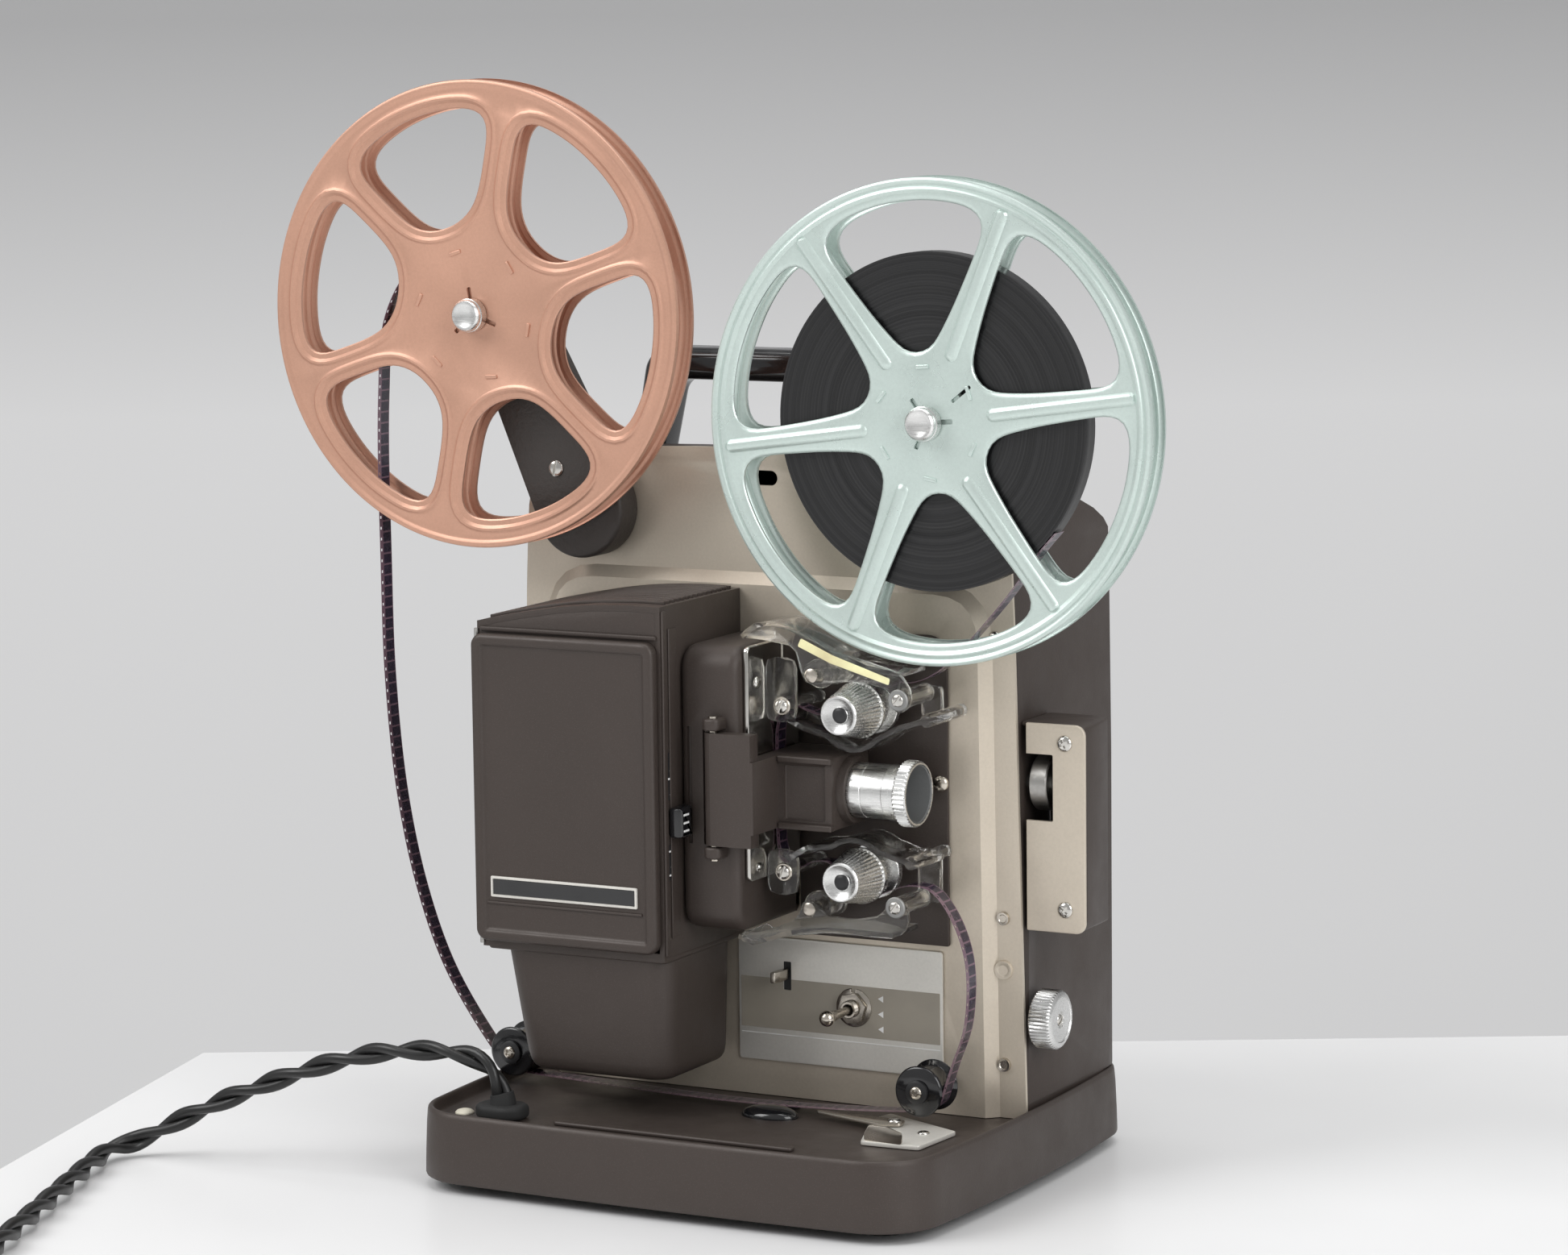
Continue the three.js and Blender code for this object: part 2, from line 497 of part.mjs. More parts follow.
// ---------------------------------------------------------------- shutter, gate and lens
const CARRIAGE = { front: -56.7, back: -50.4, z0: 132, z1: 174, webX: 31.4, boxX: 38, boxEnd: 60.2, z: [137, 164] };
const EARS = [[CARRIAGE.z1 + 0.8, CARRIAGE.z1 + 5.2], [CARRIAGE.z0 - 5.2, CARRIAGE.z0 - 0.8]];
const HINGE_PINS = [[CARRIAGE.z1 - 2, CARRIAGE.z1 + 5], [CARRIAGE.z0 - 5, CARRIAGE.z0 + 2]];
const shutterHousing = () => {
  const { x0, x1, y0, y1, z0, z1 } = SHUTTER_BOX;
  const ears = EARS.map(([from, to]) => block(16.5, 23.5, HINGE.y - 3.2, y0 + 1, from, to));
  const pins = HINGE_PINS.map(([from, to]) => rod('z', 1.6, from, to, HINGE.x, HINGE.y, 10));
  return join(
    cut(
      prism('x', rounded([[y0, z0, 6], [y1, z0, 0.1], [y1, z1, 0.1], [y0, z1, 6]], 6), x0, x1, 3),
      block(x0 + 2, x1 - 2, y0 + 2, y1 + 1, z0 + 2, z1 - 2),
      rod('x', 5, x0 - 1, x1 + 1, LENS.y, LENS.z, 16),
      block(7, 8.8, y0 - 1, y0 + 1.2, CARRIAGE.z0, CARRIAGE.z1),
      block(13.6, 15.4, y0 - 1, y0 + 1.2, CARRIAGE.z0, CARRIAGE.z1),
    ),
    ...ears,
    ...pins,
  );
};
add('shutter_housing', shutterHousing(), MAT.brown);
add('gate_rail', cut(
  block(28.3, 30.3, -45, -5, 117, 205),
  rod('x', 3.5, 28, 31, LENS.y, LENS.z, 12),
), MAT.chrome);

const BARREL_R = 10.2;
const lensCarriage = () => {
  const { front, back, z0, z1, webX, boxX, boxEnd, z } = CARRIAGE;
  return cut(
    join(
      rod('z', 3.15, z0, z1, HINGE.x, HINGE.y, 16),
      block(HINGE.x, 37, front, back, z0, z1),
      block(webX, boxX, front, -6.7, z[0], z[1]),
      block(boxX - 0.5, boxEnd, -36.7, -6.7, z[0], z[1]),
      rod('x', BARREL_R + 2.3, boxEnd - 1, boxEnd + 3.1, LENS.y, LENS.z, 24),
    ),
    rod('z', 1.9, z0 - 1, z0 + 2.5, HINGE.x, HINGE.y, 10),
    rod('z', 1.9, z1 - 2.5, z1 + 1, HINGE.x, HINGE.y, 10),
    rod('x', BARREL_R + GAP, 42, boxEnd + 4, LENS.y, LENS.z, 24),
    rod('x', 5, 30, 43, LENS.y, LENS.z, 12),
  );
};
add('lens_carriage', lensCarriage(), MAT.brown);
add('lens_barrel', turned('x', [
  [7.2, 46], [BARREL_R, 46], [BARREL_R, 83], [12.3, 83], [12.3, 88.4], [10.6, 88.4], [7.2, 81], [7.2, 46],
], LENS.y, LENS.z, 24), MAT.aluminium);

// ---------------------------------------------------------------- sprockets, guides and rollers
for (const [name, z] of Object.entries(SPROCKET_Z)) {
  add(`${name}_sprocket`, turned('y', [
    [0, -42.5], [4, -43.75], [7.25, -43.75], [10.5, -27], [10.5, -26], [8.6, -26], [8.6, -16.4],
    [10.5, -16.4], [10.5, -13], [3, -13], [3, 10], [0, 10],
  ], SPROCKET_X, z, 16), MAT.aluminium);
}
const GUIDE_Y = { face: -33, inner: -31, back: -12 };
const LEVER_Y = { face: -36, inner: -34, back: -14 };
const guidePosts = (spots) => spots.map(([x, z]) => rod('y', 2.5, GUIDE_Y.face + 1, PLATE_FACE - GAP, x, z, 10));
const upperGuide = () => {
  const ring = { x: SPROCKET_X, z: SPROCKET_Z.upper };
  const channel = [[40, 177.5], [47, 174], ...arc(ring, 14.2, 222, 318, 6), [86, 176.5], [94, 179], [102, 181]];
  return join(
    prism('y', rounded([[31, 176], [43.5, 176], [43.5, 200], [31, 200]], 4), GUIDE_Y.face, GUIDE_Y.inner, 2),
    strip(channel, 2, GUIDE_Y.face, GUIDE_Y.back),
    ...guidePosts([[38, 182], [97, 179.8]]),
  );
};
const lowerGuide = () => {
  const ring = { x: SPROCKET_X, z: SPROCKET_Z.lower };
  const channel = [[40, 125], [48, 129.5], ...arc(ring, 14.2, 130, 50, 5), [86, 127.5], [94, 126]];
  return join(
    prism('y', rounded([[31, 111], [43.5, 111], [43.5, 128], [31, 128]], 4), GUIDE_Y.face, GUIDE_Y.inner, 2),
    strip(channel, 2, GUIDE_Y.face, GUIDE_Y.back),
    ...guidePosts([[38, 120], [90, 126.5]]),
  );
};
const GUIDE_LEVERS = {
  upper: {
    pivot: [88, 187.5],
    roller: [52, 194.5],
    top: [[23, 207.5], [29, 212], [42, 211.5], [60, 203.8], [74, 198.5], [88, 196.6]],
    face: [[23, 207], [30, 212], [42, 212], [60, 204.5], [88, 197.4], [93, 190], [91, 183], [85, 183], [84, 191],
      [72, 193.5], [57, 192], [51, 190.5], [48, 194], [45, 205], [30, 207]],
  },
  lower: {
    pivot: [86, 110.5],
    roller: [50, 107],
    top: [[20, 94.5], [26, 92.5], [40, 97], [58, 99.6], [84, 99.6]],
    face: [[20, 96], [26, 91.5], [40, 96], [58, 98.7], [86, 98.7], [91, 104], [90, 113], [84, 114.5], [80, 107],
      [68, 104.5], [56, 105], [53, 110], [48, 111], [45, 103], [38, 100], [29, 96.6]],
  },
};
const PIN_R = 1.8;
for (const [name, { pivot, roller, top, face }] of Object.entries(GUIDE_LEVERS)) {
  const lever = join(
    prism('y', rounded(face, 2), LEVER_Y.face, LEVER_Y.inner, 1),
    strip(top, 1.8, LEVER_Y.face, LEVER_Y.back, 2),
    rod('y', 3.6, LEVER_Y.face, LEVER_Y.back, ...pivot, 14),
    rod('y', PIN_R, LEVER_Y.face, -13.5, ...roller, 10),
  );
  const clearWire = rod('y', 1.5, LEVER_Y.face - 1, LEVER_Y.back + 1, ...pivot, 10);
  if (name === 'upper') add('upper_guide', join(upperGuide(), pivotPin(pivot, [91, 180])), MAT.clear);
  else add('lower_guide', join(lowerGuide(), pivotPin(pivot, [90, 126.5])), MAT.clear);
  add(`${name}_guide_lever`, cut(lever, clearWire), MAT.clear);
  add(`${name}_lever_roller`, turned('y', [
    [PIN_R + GAP, -29.5], [5.6, -29.5], [5.6, -15], [PIN_R + GAP, -15], [PIN_R + GAP, -29.5],
  ], ...roller, 16), MAT.clear);
}
function pivotPin(pivot, foot) {
  return join(
    rod('y', 1.2, LEVER_Y.face, -10, ...pivot, 10),
    prism('y', rounded([
      [Math.min(pivot[0], foot[0]) - 2.5, Math.min(pivot[1], foot[1]) - 2],
      [Math.max(pivot[0], foot[0]) + 2.5, Math.min(pivot[1], foot[1]) - 2],
      [Math.max(pivot[0], foot[0]) + 2.5, Math.max(pivot[1], foot[1]) + 2],
      [Math.min(pivot[0], foot[0]) - 2.5, Math.max(pivot[1], foot[1]) + 2],
    ], 1.5), -13, -10, 2),
  );
}

const ROLLERS = {
  right: { x: 90.5, z: 40.2, end: PLATEAU_Y - GAP },
  left: { x: -84.6, z: 39, end: 1.6 },
};
const ROLLER = { core: 7.5, flange: 9.5, y0: -28.5, y1: -13.5 };
for (const [side, { x, z, end }] of Object.entries(ROLLERS)) {
  const { core, flange, y0, y1 } = ROLLER;
  add(`film_roller_${side}`, turned('y', [
    [2.8, y0], [flange, y0], [flange, y0 + 1.5], [core, y0 + 2.5], [core, y1 - 2.5], [flange, y1 - 1.5],
    [flange, y1], [2.8, y1], [2.8, y0],
  ], x, z, 16), MAT.blackPlastic);
  add(`roller_post_${side}`, turned('y', [
    [0, y0 - 2.3], [4.5, y0 - 2.3], [4.5, y0 - 0.3], [2.5, y0 - 0.3], [2.5, end], [0, end],
  ], x, z, 12), MAT.blackPlastic);
}

// ---------------------------------------------------------------- film
const FILM_EDGE = [FILM_Y - FILM_WIDTH / 2, FILM_Y + FILM_WIDTH / 2];
const feedPath = () => {
  const upper = { x: SPROCKET_X, z: SPROCKET_Z.upper };
  return [
    ...arc(SUPPLY_HUB, PACK_R + 0.6, -38, -46, 1), [125, 224.5], [108.5, 206.5], [98, 197],
    [90, 193], [82, 191.8], [74, 191.4], ...arc(upper, 9.1, 88, 150, 2),
  ];
};
const takeupPath = () => {
  const lower = { x: SPROCKET_X, z: SPROCKET_Z.lower };
  const right = ROLLERS.right;
  const left = ROLLERS.left;
  return [
    ...arc(lower, 9.4, 200, 300, 6), [77.5, 114], [86, 116.6], [94, 115.5], [102, 107], [108.5, 90], [108, 66],
    [102.5, 50], ...arc(right, ROLLER.core + 0.7, -10, -90, 4), [60, 29.6], [11, 28], [-50, 29.3],
    ...arc(left, ROLLER.core + 0.7, -90, -135, 2), [-98, 41.5], [-116, 68], [-128, 98], [-136.4, 135],
    [-140.8, 180], [-141.6, 225], [-141, 290], [-137, 322], [-125, 340], [-110, 344.5],
    polar(TAKEUP_HUB, CORE_R + 0.7, 92),
  ];
};
add('film_feed_run', strip(feedPath(), FILM_THICK, ...FILM_EDGE, 2), MAT.film);
add('film_takeup_run', strip(takeupPath(), FILM_THICK, ...FILM_EDGE, 2), MAT.film);

// ---------------------------------------------------------------- controls
add('framer_lever', block(20.2, 24.4, -12, LABEL_FACE - GAP, 71.8, 76.2), MAT.blackPlastic);
add('toggle_body', turned('y', [
  [3, -7.5], [5.5, -7.5], [6.5, -6.5], [6.5, LABEL_FACE - GAP], [3, LABEL_FACE - GAP], [3, -7.5],
], 50.8, 63.4, 16), MAT.steel);
add('toggle_lever', turned('y', [
  [0, -27], [2.2, -26.4], [3.4, -24.6], [3.2, -22.5], [2.2, -18], [1.6, -10], [1.4, -3], [0, -2.8],
], 50.8, 63.4, 12), MAT.steel);
add('inching_wheel', turned('x', [
  [4.3, 119.5], [10.6, 119.5], [10.6, 126.5], [4.3, 126.5], [4.3, 119.5],
], MAIN_SHAFT.y, MAIN_SHAFT.z, 24), MAT.steel);
const pinion = { x0: TILT_FOOT.x0, x1: TILT_FOOT.x1, r: 6.5 };
add('tilt_knob', turned('x', [
  [0, pinion.x0], [pinion.r, pinion.x0], [pinion.r, pinion.x1], [3.5, pinion.x1], [3.5, 121.5], [11, 121.5],
  [11, 129.5], [10, 130.5], [0, 130.5],
], TILT_SHAFT.y, TILT_SHAFT.z, 24), MAT.aluminium);
add('tilt_foot', join(
  block(TILT_FOOT.x0, TILT_FOOT.x1, TILT_FOOT.y0, TILT_FOOT.y1, 6, 88),
  rod('z', 7.5, 6, 10, (TILT_FOOT.x0 + TILT_FOOT.x1) / 2, (TILT_FOOT.y0 + TILT_FOOT.y1) / 2, 14),
), MAT.steel);

// ---------------------------------------------------------------- drive inside the housing
const BELT = { x0: 50, x1: 56, shaftR: 13, motorR: 6.5 };
add('main_shaft', turned('x', [
  [0, 2], [4, 2], [4, BELT.x0 - 1], [BELT.shaftR, BELT.x0 - 1], [BELT.shaftR, BELT.x1 + 1], [4, BELT.x1 + 1],
  [4, 131.5], [0, 131.5],
], MAIN_SHAFT.y, MAIN_SHAFT.z, 20), MAT.steel);
const shutterDisc = () => {
  const { disc, half } = SHUTTER_X;
  const plate = join(
    rod('x', 46, disc - half, disc + half, MAIN_SHAFT.y, MAIN_SHAFT.z, 32),
    rod('x', 8, disc - half, disc + 6, MAIN_SHAFT.y, MAIN_SHAFT.z, 16),
  );
  const blade = prism('x', rounded([[-6, 112], [42, 112], [30, 132], [6, 132]], 2), disc - 2, disc + 2, 2);
  return cut(plate, blade, rod('x', 4.3, disc - 3, disc + 8, MAIN_SHAFT.y, MAIN_SHAFT.z, 16));
};
add('shutter_disc', shutterDisc(), MAT.steel);
const motorHousing = () => {
  const tube = cut(
    rod('x', 29, -25, 35, MOTOR.y, MOTOR.z, 28),
    rod('x', 27, -23, 33, MOTOR.y, MOTOR.z, 28),
  );
  const foot = cut(
    block(-20, 30, MOTOR.y - 16, MOTOR.y + 16, DECK_TOP + GAP, MOTOR.z - 20),
    rod('x', 28, -30, 40, MOTOR.y, MOTOR.z, 28),
  );
  return cut(join(tube, foot), rod('x', 3.4, -30, 40, MOTOR.y, MOTOR.z, 12));
};
add('motor_housing', motorHousing(), MAT.steel);
add('motor_rotor', turned('x', [
  [0, -28], [3, -28], [3, -18], [23, -18], [23, 28], [3, 28], [3, BELT.x0 - 1], [BELT.motorR, BELT.x0 - 1],
  [BELT.motorR, BELT.x1 + 1], [0, BELT.x1 + 1],
], MOTOR.y, MOTOR.z, 20), MAT.steel);
const driveBelt = () => {
  const loop = (grow) => {
    const away = Math.atan2(MAIN_SHAFT.z - MOTOR.z, MAIN_SHAFT.y - MOTOR.y);
    const far = Math.hypot(MAIN_SHAFT.z - MOTOR.z, MAIN_SHAFT.y - MOTOR.y);
    const lean = Math.asin((BELT.shaftR - BELT.motorR) / far);
    const shape = new THREE.Shape();
    shape.absarc(MOTOR.y, MOTOR.z, BELT.motorR + grow, away + Math.PI / 2 + lean, away - Math.PI / 2 - lean + 2 * Math.PI);
    shape.absarc(MAIN_SHAFT.y, MAIN_SHAFT.z, BELT.shaftR + grow, away - Math.PI / 2 - lean,
      away + Math.PI / 2 + lean);
    return shape;
  };
  return cut(prism('x', loop(1.8), BELT.x0, BELT.x1, 7), prism('x', loop(GAP), BELT.x0 - 1, BELT.x1 + 1, 7));
};
add('drive_belt', driveBelt(), MAT.rubber);

// ---------------------------------------------------------------- film cutter on the deck
add('film_cutter', prism('z', rounded([[81.6, -58], [104.7, -56.7], [106.8, -29.7], [72, -14.4], [69, -24]], 2),
  DECK_TOP + GAP, DECK_TOP + 2, 2), MAT.aluminium);
add('cutter_blade', prism('z', rounded([[48, -28.5], [78, -37], [86, -34], [85, -28], [78, -27], [48, -26.3]], 1.5),
  DECK_TOP + 2 + GAP, DECK_TOP + 3.6, 2), MAT.steel);

// ---------------------------------------------------------------- mains lead
const cordPath = () => new THREE.CatmullRomCurve3([
  [CORD_EXIT.x, CORD_EXIT.y, 12], [CORD_EXIT.x, CORD_EXIT.y, 24], [CORD_EXIT.x, CORD_EXIT.y, 34],
  [-64.5, -76, 43.5], [-75, -77, 48.5], [-92, -78.5, 49], [-110, -80.5, 47], [-130, -83, 42], [-155, -86.5, 33],
  [-180, -90, 22.5], [-199, -93.5, 13], [-212, -99, 6.2], [-216.5, -108, CORD_REST], [-212, -126, CORD_REST],
  [-205, -146, CORD_REST], [-196, -171, CORD_REST], [-187, -196, CORD_REST], [-175, -230, CORD_REST],
  [-166, -256, CORD_REST], [-165.5, -277, CORD_REST],
].map((point) => new THREE.Vector3(...point)), false, 'centripetal');
add('mains_cord', new THREE.ExtrudeGeometry(circle(0, 0, CORD_R, 8), {
  steps: 50, extrudePath: cordPath(),
}), MAT.lead);
add('cord_grommet', turned('z', [
  [5.2, DECK_TOP + GAP], [11, DECK_TOP + GAP], [11, 30], [9, 32.5], [5.2, 32.5], [5.2, DECK_TOP + GAP],
], CORD_EXIT.x, CORD_EXIT.y, 16), MAT.blackPlastic);
const coilRing = () => {
  const { rIn, rOut, height } = COIL;
  return turned('z', [
    [rIn + 3, 0.3], [rOut - 3, 0.3], [rOut, 3.3], [rOut, height - 3], [rOut - 3, height], [rIn + 3, height],
    [rIn, height - 3], [rIn, 3.3], [rIn + 3, 0.3],
  ], COIL.x, COIL.y, 32);
};
add('cord_coil', coilRing(), MAT.lead);
const mainsPlug = () => {
  const right = COIL.x - 41;
  const [y, z] = [COIL.y - 54, 11];
  const bodyOfPlug = block(right - 39, right - 15, y - 12, y + 12, 0.3, 21);
  const relief = turned('x', [[0, right - 16], [7, right - 16], [CORD_R, right], [0, right]], y, z, 12);
  const prongs = [-6, 6].map((dy) => block(right - 57, right - 38, y + dy - 0.8, y + dy + 0.8, z - 3.2, z + 3.2));
  return join(bodyOfPlug, relief, ...prongs);
};
add('mains_plug', mainsPlug(), MAT.blackPlastic);

export default projector;
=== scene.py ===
import math
import random

import bmesh
import bpy
from mathutils import Matrix, Vector
from mathutils.geometry import delaunay_2d_cdt


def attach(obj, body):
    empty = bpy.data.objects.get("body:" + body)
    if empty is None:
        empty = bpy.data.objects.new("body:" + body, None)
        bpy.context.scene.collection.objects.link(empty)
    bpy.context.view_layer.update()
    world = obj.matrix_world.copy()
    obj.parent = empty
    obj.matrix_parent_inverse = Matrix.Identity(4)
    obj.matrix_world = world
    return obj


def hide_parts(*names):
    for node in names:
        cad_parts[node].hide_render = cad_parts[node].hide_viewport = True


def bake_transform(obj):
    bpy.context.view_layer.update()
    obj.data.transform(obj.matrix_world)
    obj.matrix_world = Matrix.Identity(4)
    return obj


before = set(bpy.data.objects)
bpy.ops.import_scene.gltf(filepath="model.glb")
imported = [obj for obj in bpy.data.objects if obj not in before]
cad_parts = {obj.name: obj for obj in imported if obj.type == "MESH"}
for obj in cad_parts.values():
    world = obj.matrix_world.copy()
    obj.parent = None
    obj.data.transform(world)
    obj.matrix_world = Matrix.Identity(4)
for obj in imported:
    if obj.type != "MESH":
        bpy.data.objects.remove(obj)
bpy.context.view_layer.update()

MM = 0.001
scene = bpy.context.scene
TAU = 2 * math.pi

# Where the working parts stand, in millimetres: (y, z) for axes along X, (x, z) along Y and (x, y) along Z.
LENS_AXIS, SHAFT_AXIS, TILT_AXIS = (-21, 150.5), (18, 151.5), (12, 63)
UPPER, LOWER = (66.9, 181.5), (66.9, 119.5)                 # sprockets
RIGHT_ROLLER, LEFT_ROLLER = (90.5, 40.2), (-84.6, 39.0)
HUBS = {"takeup": (-96.4, 323.3), "supply": (96.4, 288.5)}
ARM_PIVOTS = {"takeup": (-61.1, 249.0), "supply": (84.0, 249.0)}
TOGGLE = (50.8, 63.4)
LAMP = (-12, -32)
LEAD_HOLE = (-60.6, -75.4)
REEL_R, BORE_R = 89.0, 4.4
FILM_PITCH, FILM_FRONT = 4.23, -25.0        # one frame along the film; y of its front edge

# ------------------------------------------------------------------ camera
CAMERA_AT = Vector((0.88808, -1.62417, 0.45504))
CAMERA_LOOKS = Vector((-0.46642, 0.87437, -0.13390)).normalized()
CAMERA_UP = Vector((-0.05200, 0.12401, 0.99092))
LENS_LENGTH, SENSOR_WIDTH = 113.2, 36       # millimetres


def make_camera():
    right = CAMERA_LOOKS.cross(CAMERA_UP).normalized()
    up = right.cross(CAMERA_LOOKS).normalized()
    turn = Matrix((right, up, -CAMERA_LOOKS)).transposed()
    data = bpy.data.cameras.new("camera")
    data.sensor_width = SENSOR_WIDTH
    data.lens = LENS_LENGTH
    data.clip_end = 20
    camera = bpy.data.objects.new("camera", data)
    camera.matrix_world = Matrix.Translation(CAMERA_AT) @ turn.to_4x4()
    scene.collection.objects.link(camera)
    scene.camera = camera


make_camera()


# ------------------------------------------------------------------ meshes
def new_object(name, verts, faces, smooth=40, uvs=None):
    """A mesh object from points in millimetres; edges sharper than smooth degrees stay crisp."""
    mesh = bpy.data.meshes.new(name)
    mesh.from_pydata([(x * MM, y * MM, z * MM) for x, y, z in verts], [], faces)
    if uvs:
        layer = mesh.uv_layers.new(name="UVMap")
        for loop in mesh.loops:
            layer.data[loop.index].uv = uvs[loop.vertex_index]
    obj = bpy.data.objects.new(name, mesh)
    scene.collection.objects.link(obj)
    shade(obj, smooth)
    return obj


def shade(obj, smooth=40):
    """Smooth shading, with edges sharper than smooth degrees kept crisp."""
    mesh = obj.data
    mesh.validate()
    mesh.polygons.foreach_set("use_smooth", [True] * len(mesh.polygons))
    mesh.set_sharp_from_angle(angle=math.radians(smooth))
    mesh.update()


def edit(obj, change, smooth=40):
    """Runs change on the object's mesh."""
    bm = bmesh.new()
    bm.from_mesh(obj.data)
    change(bm)
    bm.to_mesh(obj.data)
    bm.free()
    shade(obj, smooth)
    return obj


def outward(bm):
    bmesh.ops.recalc_face_normals(bm, faces=bm.faces[:])


def loft(name, rings, closed=False, smooth=40):
    """Rings with equal numbers of points, joined in order; closed joins the last to the first."""
    count = len(rings[0])
    verts = [p for ring in rings for p in ring]
    faces = []
    levels = len(rings) if closed else len(rings) - 1
    for k in range(levels):
        a, b = k * count, ((k + 1) % len(rings)) * count
        for i in range(count):
            j = (i + 1) % count
            faces.append((a + i, a + j, b + j, b + i))
    if not closed:
        faces.append(tuple(reversed(range(count))))
        faces.append(tuple(range((len(rings) - 1) * count, len(rings) * count)))
    obj = new_object(name, verts, faces, smooth)
    return edit(obj, outward, smooth)


def spin(axis, a, b):
    """Turns (radius, angle, distance along the axis) into a point; a, b are the axis's other two coordinates."""
    def at(radius, angle, t):
        c, s = radius * math.cos(angle), radius * math.sin(angle)
        if axis == "x":
            return (t, a + c, b + s)
        if axis == "y":
            return (a + c, t, b + s)
        return (a + c, b + s, t)
    return at


def lathe(name, axis, a, b, profile, sides=64, closed=False, smooth=35, knurl=None):
    """A turned piece. profile is [(radius, distance)]; knurl = (index set, depth, teeth) ripples those rings."""
    at = spin(axis, a, b)
    rings = []
    for k, (r, t) in enumerate(profile):
        ring = []
        for i in range(sides):
            radius = r
            if knurl and k in knurl[0]:
                radius += knurl[1] * math.cos(knurl[2] * TAU * i / sides)
            ring.append(at(max(radius, 0.01), TAU * i / sides, t))
        rings.append(ring)
    return loft(name, rings, closed=closed, smooth=smooth)


def rounded(points, radius, steps=6):
    """A closed outline with rounded corners; a point may carry its own radius as a third number."""
    out = []
    n = len(points)
    for i in range(n):
        p = Vector(points[i][:2])
        r = points[i][2] if len(points[i]) > 2 else radius
        before = Vector(points[i - 1][:2]) - p
        after = Vector(points[(i + 1) % n][:2]) - p
        half = before.angle(after) / 2
        reach = min(r / max(math.tan(half), 1e-3), before.length * 0.49, after.length * 0.49)
        a, c = p + before.normalized() * reach, p + after.normalized() * reach
        if r < 0.05 or abs(half - math.pi / 2) < 0.01:
            out.append((p.x, p.y))
            continue
        weight = math.cos(math.pi / 2 - half)
        for s in range(steps + 1):
            t = s / steps
            w = (1 - t) ** 2, 2 * t * (1 - t) * weight, t * t
            q = (a * w[0] + p * w[1] + c * w[2]) / sum(w)
            out.append((q.x, q.y))
    return out


def lift(axis, outline, t):
    """Outline points in (y, z), (x, z) or (x, y) placed at distance t along the axis."""
    if axis == "x":
        return [(t, a, b) for a, b in outline]
    if axis == "y":
        return [(a, t, b) for a, b in outline]
    return [(a, b, t) for a, b in outline]


def inset(outline, distance):
    """The outline moved inwards by distance, point by point."""
    n = len(outline)
    area = sum(outline[i][0] * outline[(i + 1) % n][1] - outline[(i + 1) % n][0] * outline[i][1]
            for i in range(n))
    side = 1 if area > 0 else -1
    out = []
    for i in range(n):
        p, q, r = Vector(outline[i - 1]), Vector(outline[i]), Vector(outline[(i + 1) % n])
        u, v = (q - p).normalized(), (r - q).normalized()
        normal = Vector((-(u.y + v.y), u.x + v.x))
        if normal.length < 1e-6:
            normal = Vector((-u.y, u.x))
        normal.normalize()
        stretch = 1 / max(0.35, normal.dot(Vector((-v.y, v.x))))
        moved = q + normal * side * distance * stretch
        out.append((moved.x, moved.y))
    return out


def slab(name, axis, outline, t0, t1, edge=0.4, steps=2, smooth=40):
    """A plate of the outline between t0 and t1 with rounded edges."""
    rings = []
    for s in range(steps + 1):
        a = math.pi / 2 * s / steps
        rings.append(lift(axis, inset(outline, edge * (1 - math.sin(a))), t0 + edge * (1 - math.cos(a))))
    for s in range(steps + 1):
        a = math.pi / 2 * (1 - s / steps)
        rings.append(lift(axis, inset(outline, edge * (1 - math.sin(a))), t1 - edge * (1 - math.cos(a))))
    return loft(name, rings, smooth=smooth)


def box_outline(a0, a1, b0, b1, r=1.0, steps=5):
    """A rectangle's outline with rounded corners."""
    return rounded([(a0, b0), (a1, b0), (a1, b1), (a0, b1)], r, steps)


def flatten(bm):
    """Merges a CAD mesh's doubled points and coplanar triangles."""
    bmesh.ops.remove_doubles(bm, verts=bm.verts[:], dist=2e-6)
    bmesh.ops.dissolve_limit(bm, angle_limit=math.radians(0.6), verts=bm.verts[:], edges=bm.edges[:])


def bevel_edges(bm, angle, width, segments):
    """Rounds the edges that are sharper than angle (radians) by width millimetres."""
    edges = [e for e in bm.edges if len(e.link_faces) == 2 and e.calc_face_angle(0) > angle]
    bmesh.ops.bevel(bm, geom=edges, offset=width * MM, segments=segments, profile=0.5, affect="EDGES",
                    clamp_overlap=True)


def slice_below(bm, at, normal):
    """Takes away what is behind a plane through at (metres) and closes the opening."""
    made = bmesh.ops.bisect_plane(bm, geom=bm.verts[:] + bm.edges[:] + bm.faces[:], dist=1e-6,
                                  plane_co=at, plane_no=normal, clear_inner=True)
    rim = [e for e in made["geom_cut"] if isinstance(e, bmesh.types.BMEdge)]
    bmesh.ops.edgenet_fill(bm, edges=rim)


def from_cad(name, node, bevel=0.5, segments=2, angle=25, smooth=38):
    """A copy of a CAD node with its flat faces merged and its edges rounded."""
    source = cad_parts[node]
    obj = bpy.data.objects.new(name, source.data.copy())
    obj.data.materials.clear()
    scene.collection.objects.link(obj)

    def change(bm):
        flatten(bm)
        if bevel:
            bevel_edges(bm, math.radians(angle), bevel, segments)
        outward(bm)
    return edit(obj, change, smooth)


def cut(obj, *tools, smooth=40):
    """Takes the tools' solids out of obj and removes the tools."""
    for tool in tools:
        modifier = obj.modifiers.new("cut", "BOOLEAN")
        modifier.operation = "DIFFERENCE"
        modifier.solver = "EXACT"
        modifier.object = tool
        bake(obj)
        bpy.data.objects.remove(tool)
    shade(obj, smooth)
    return obj


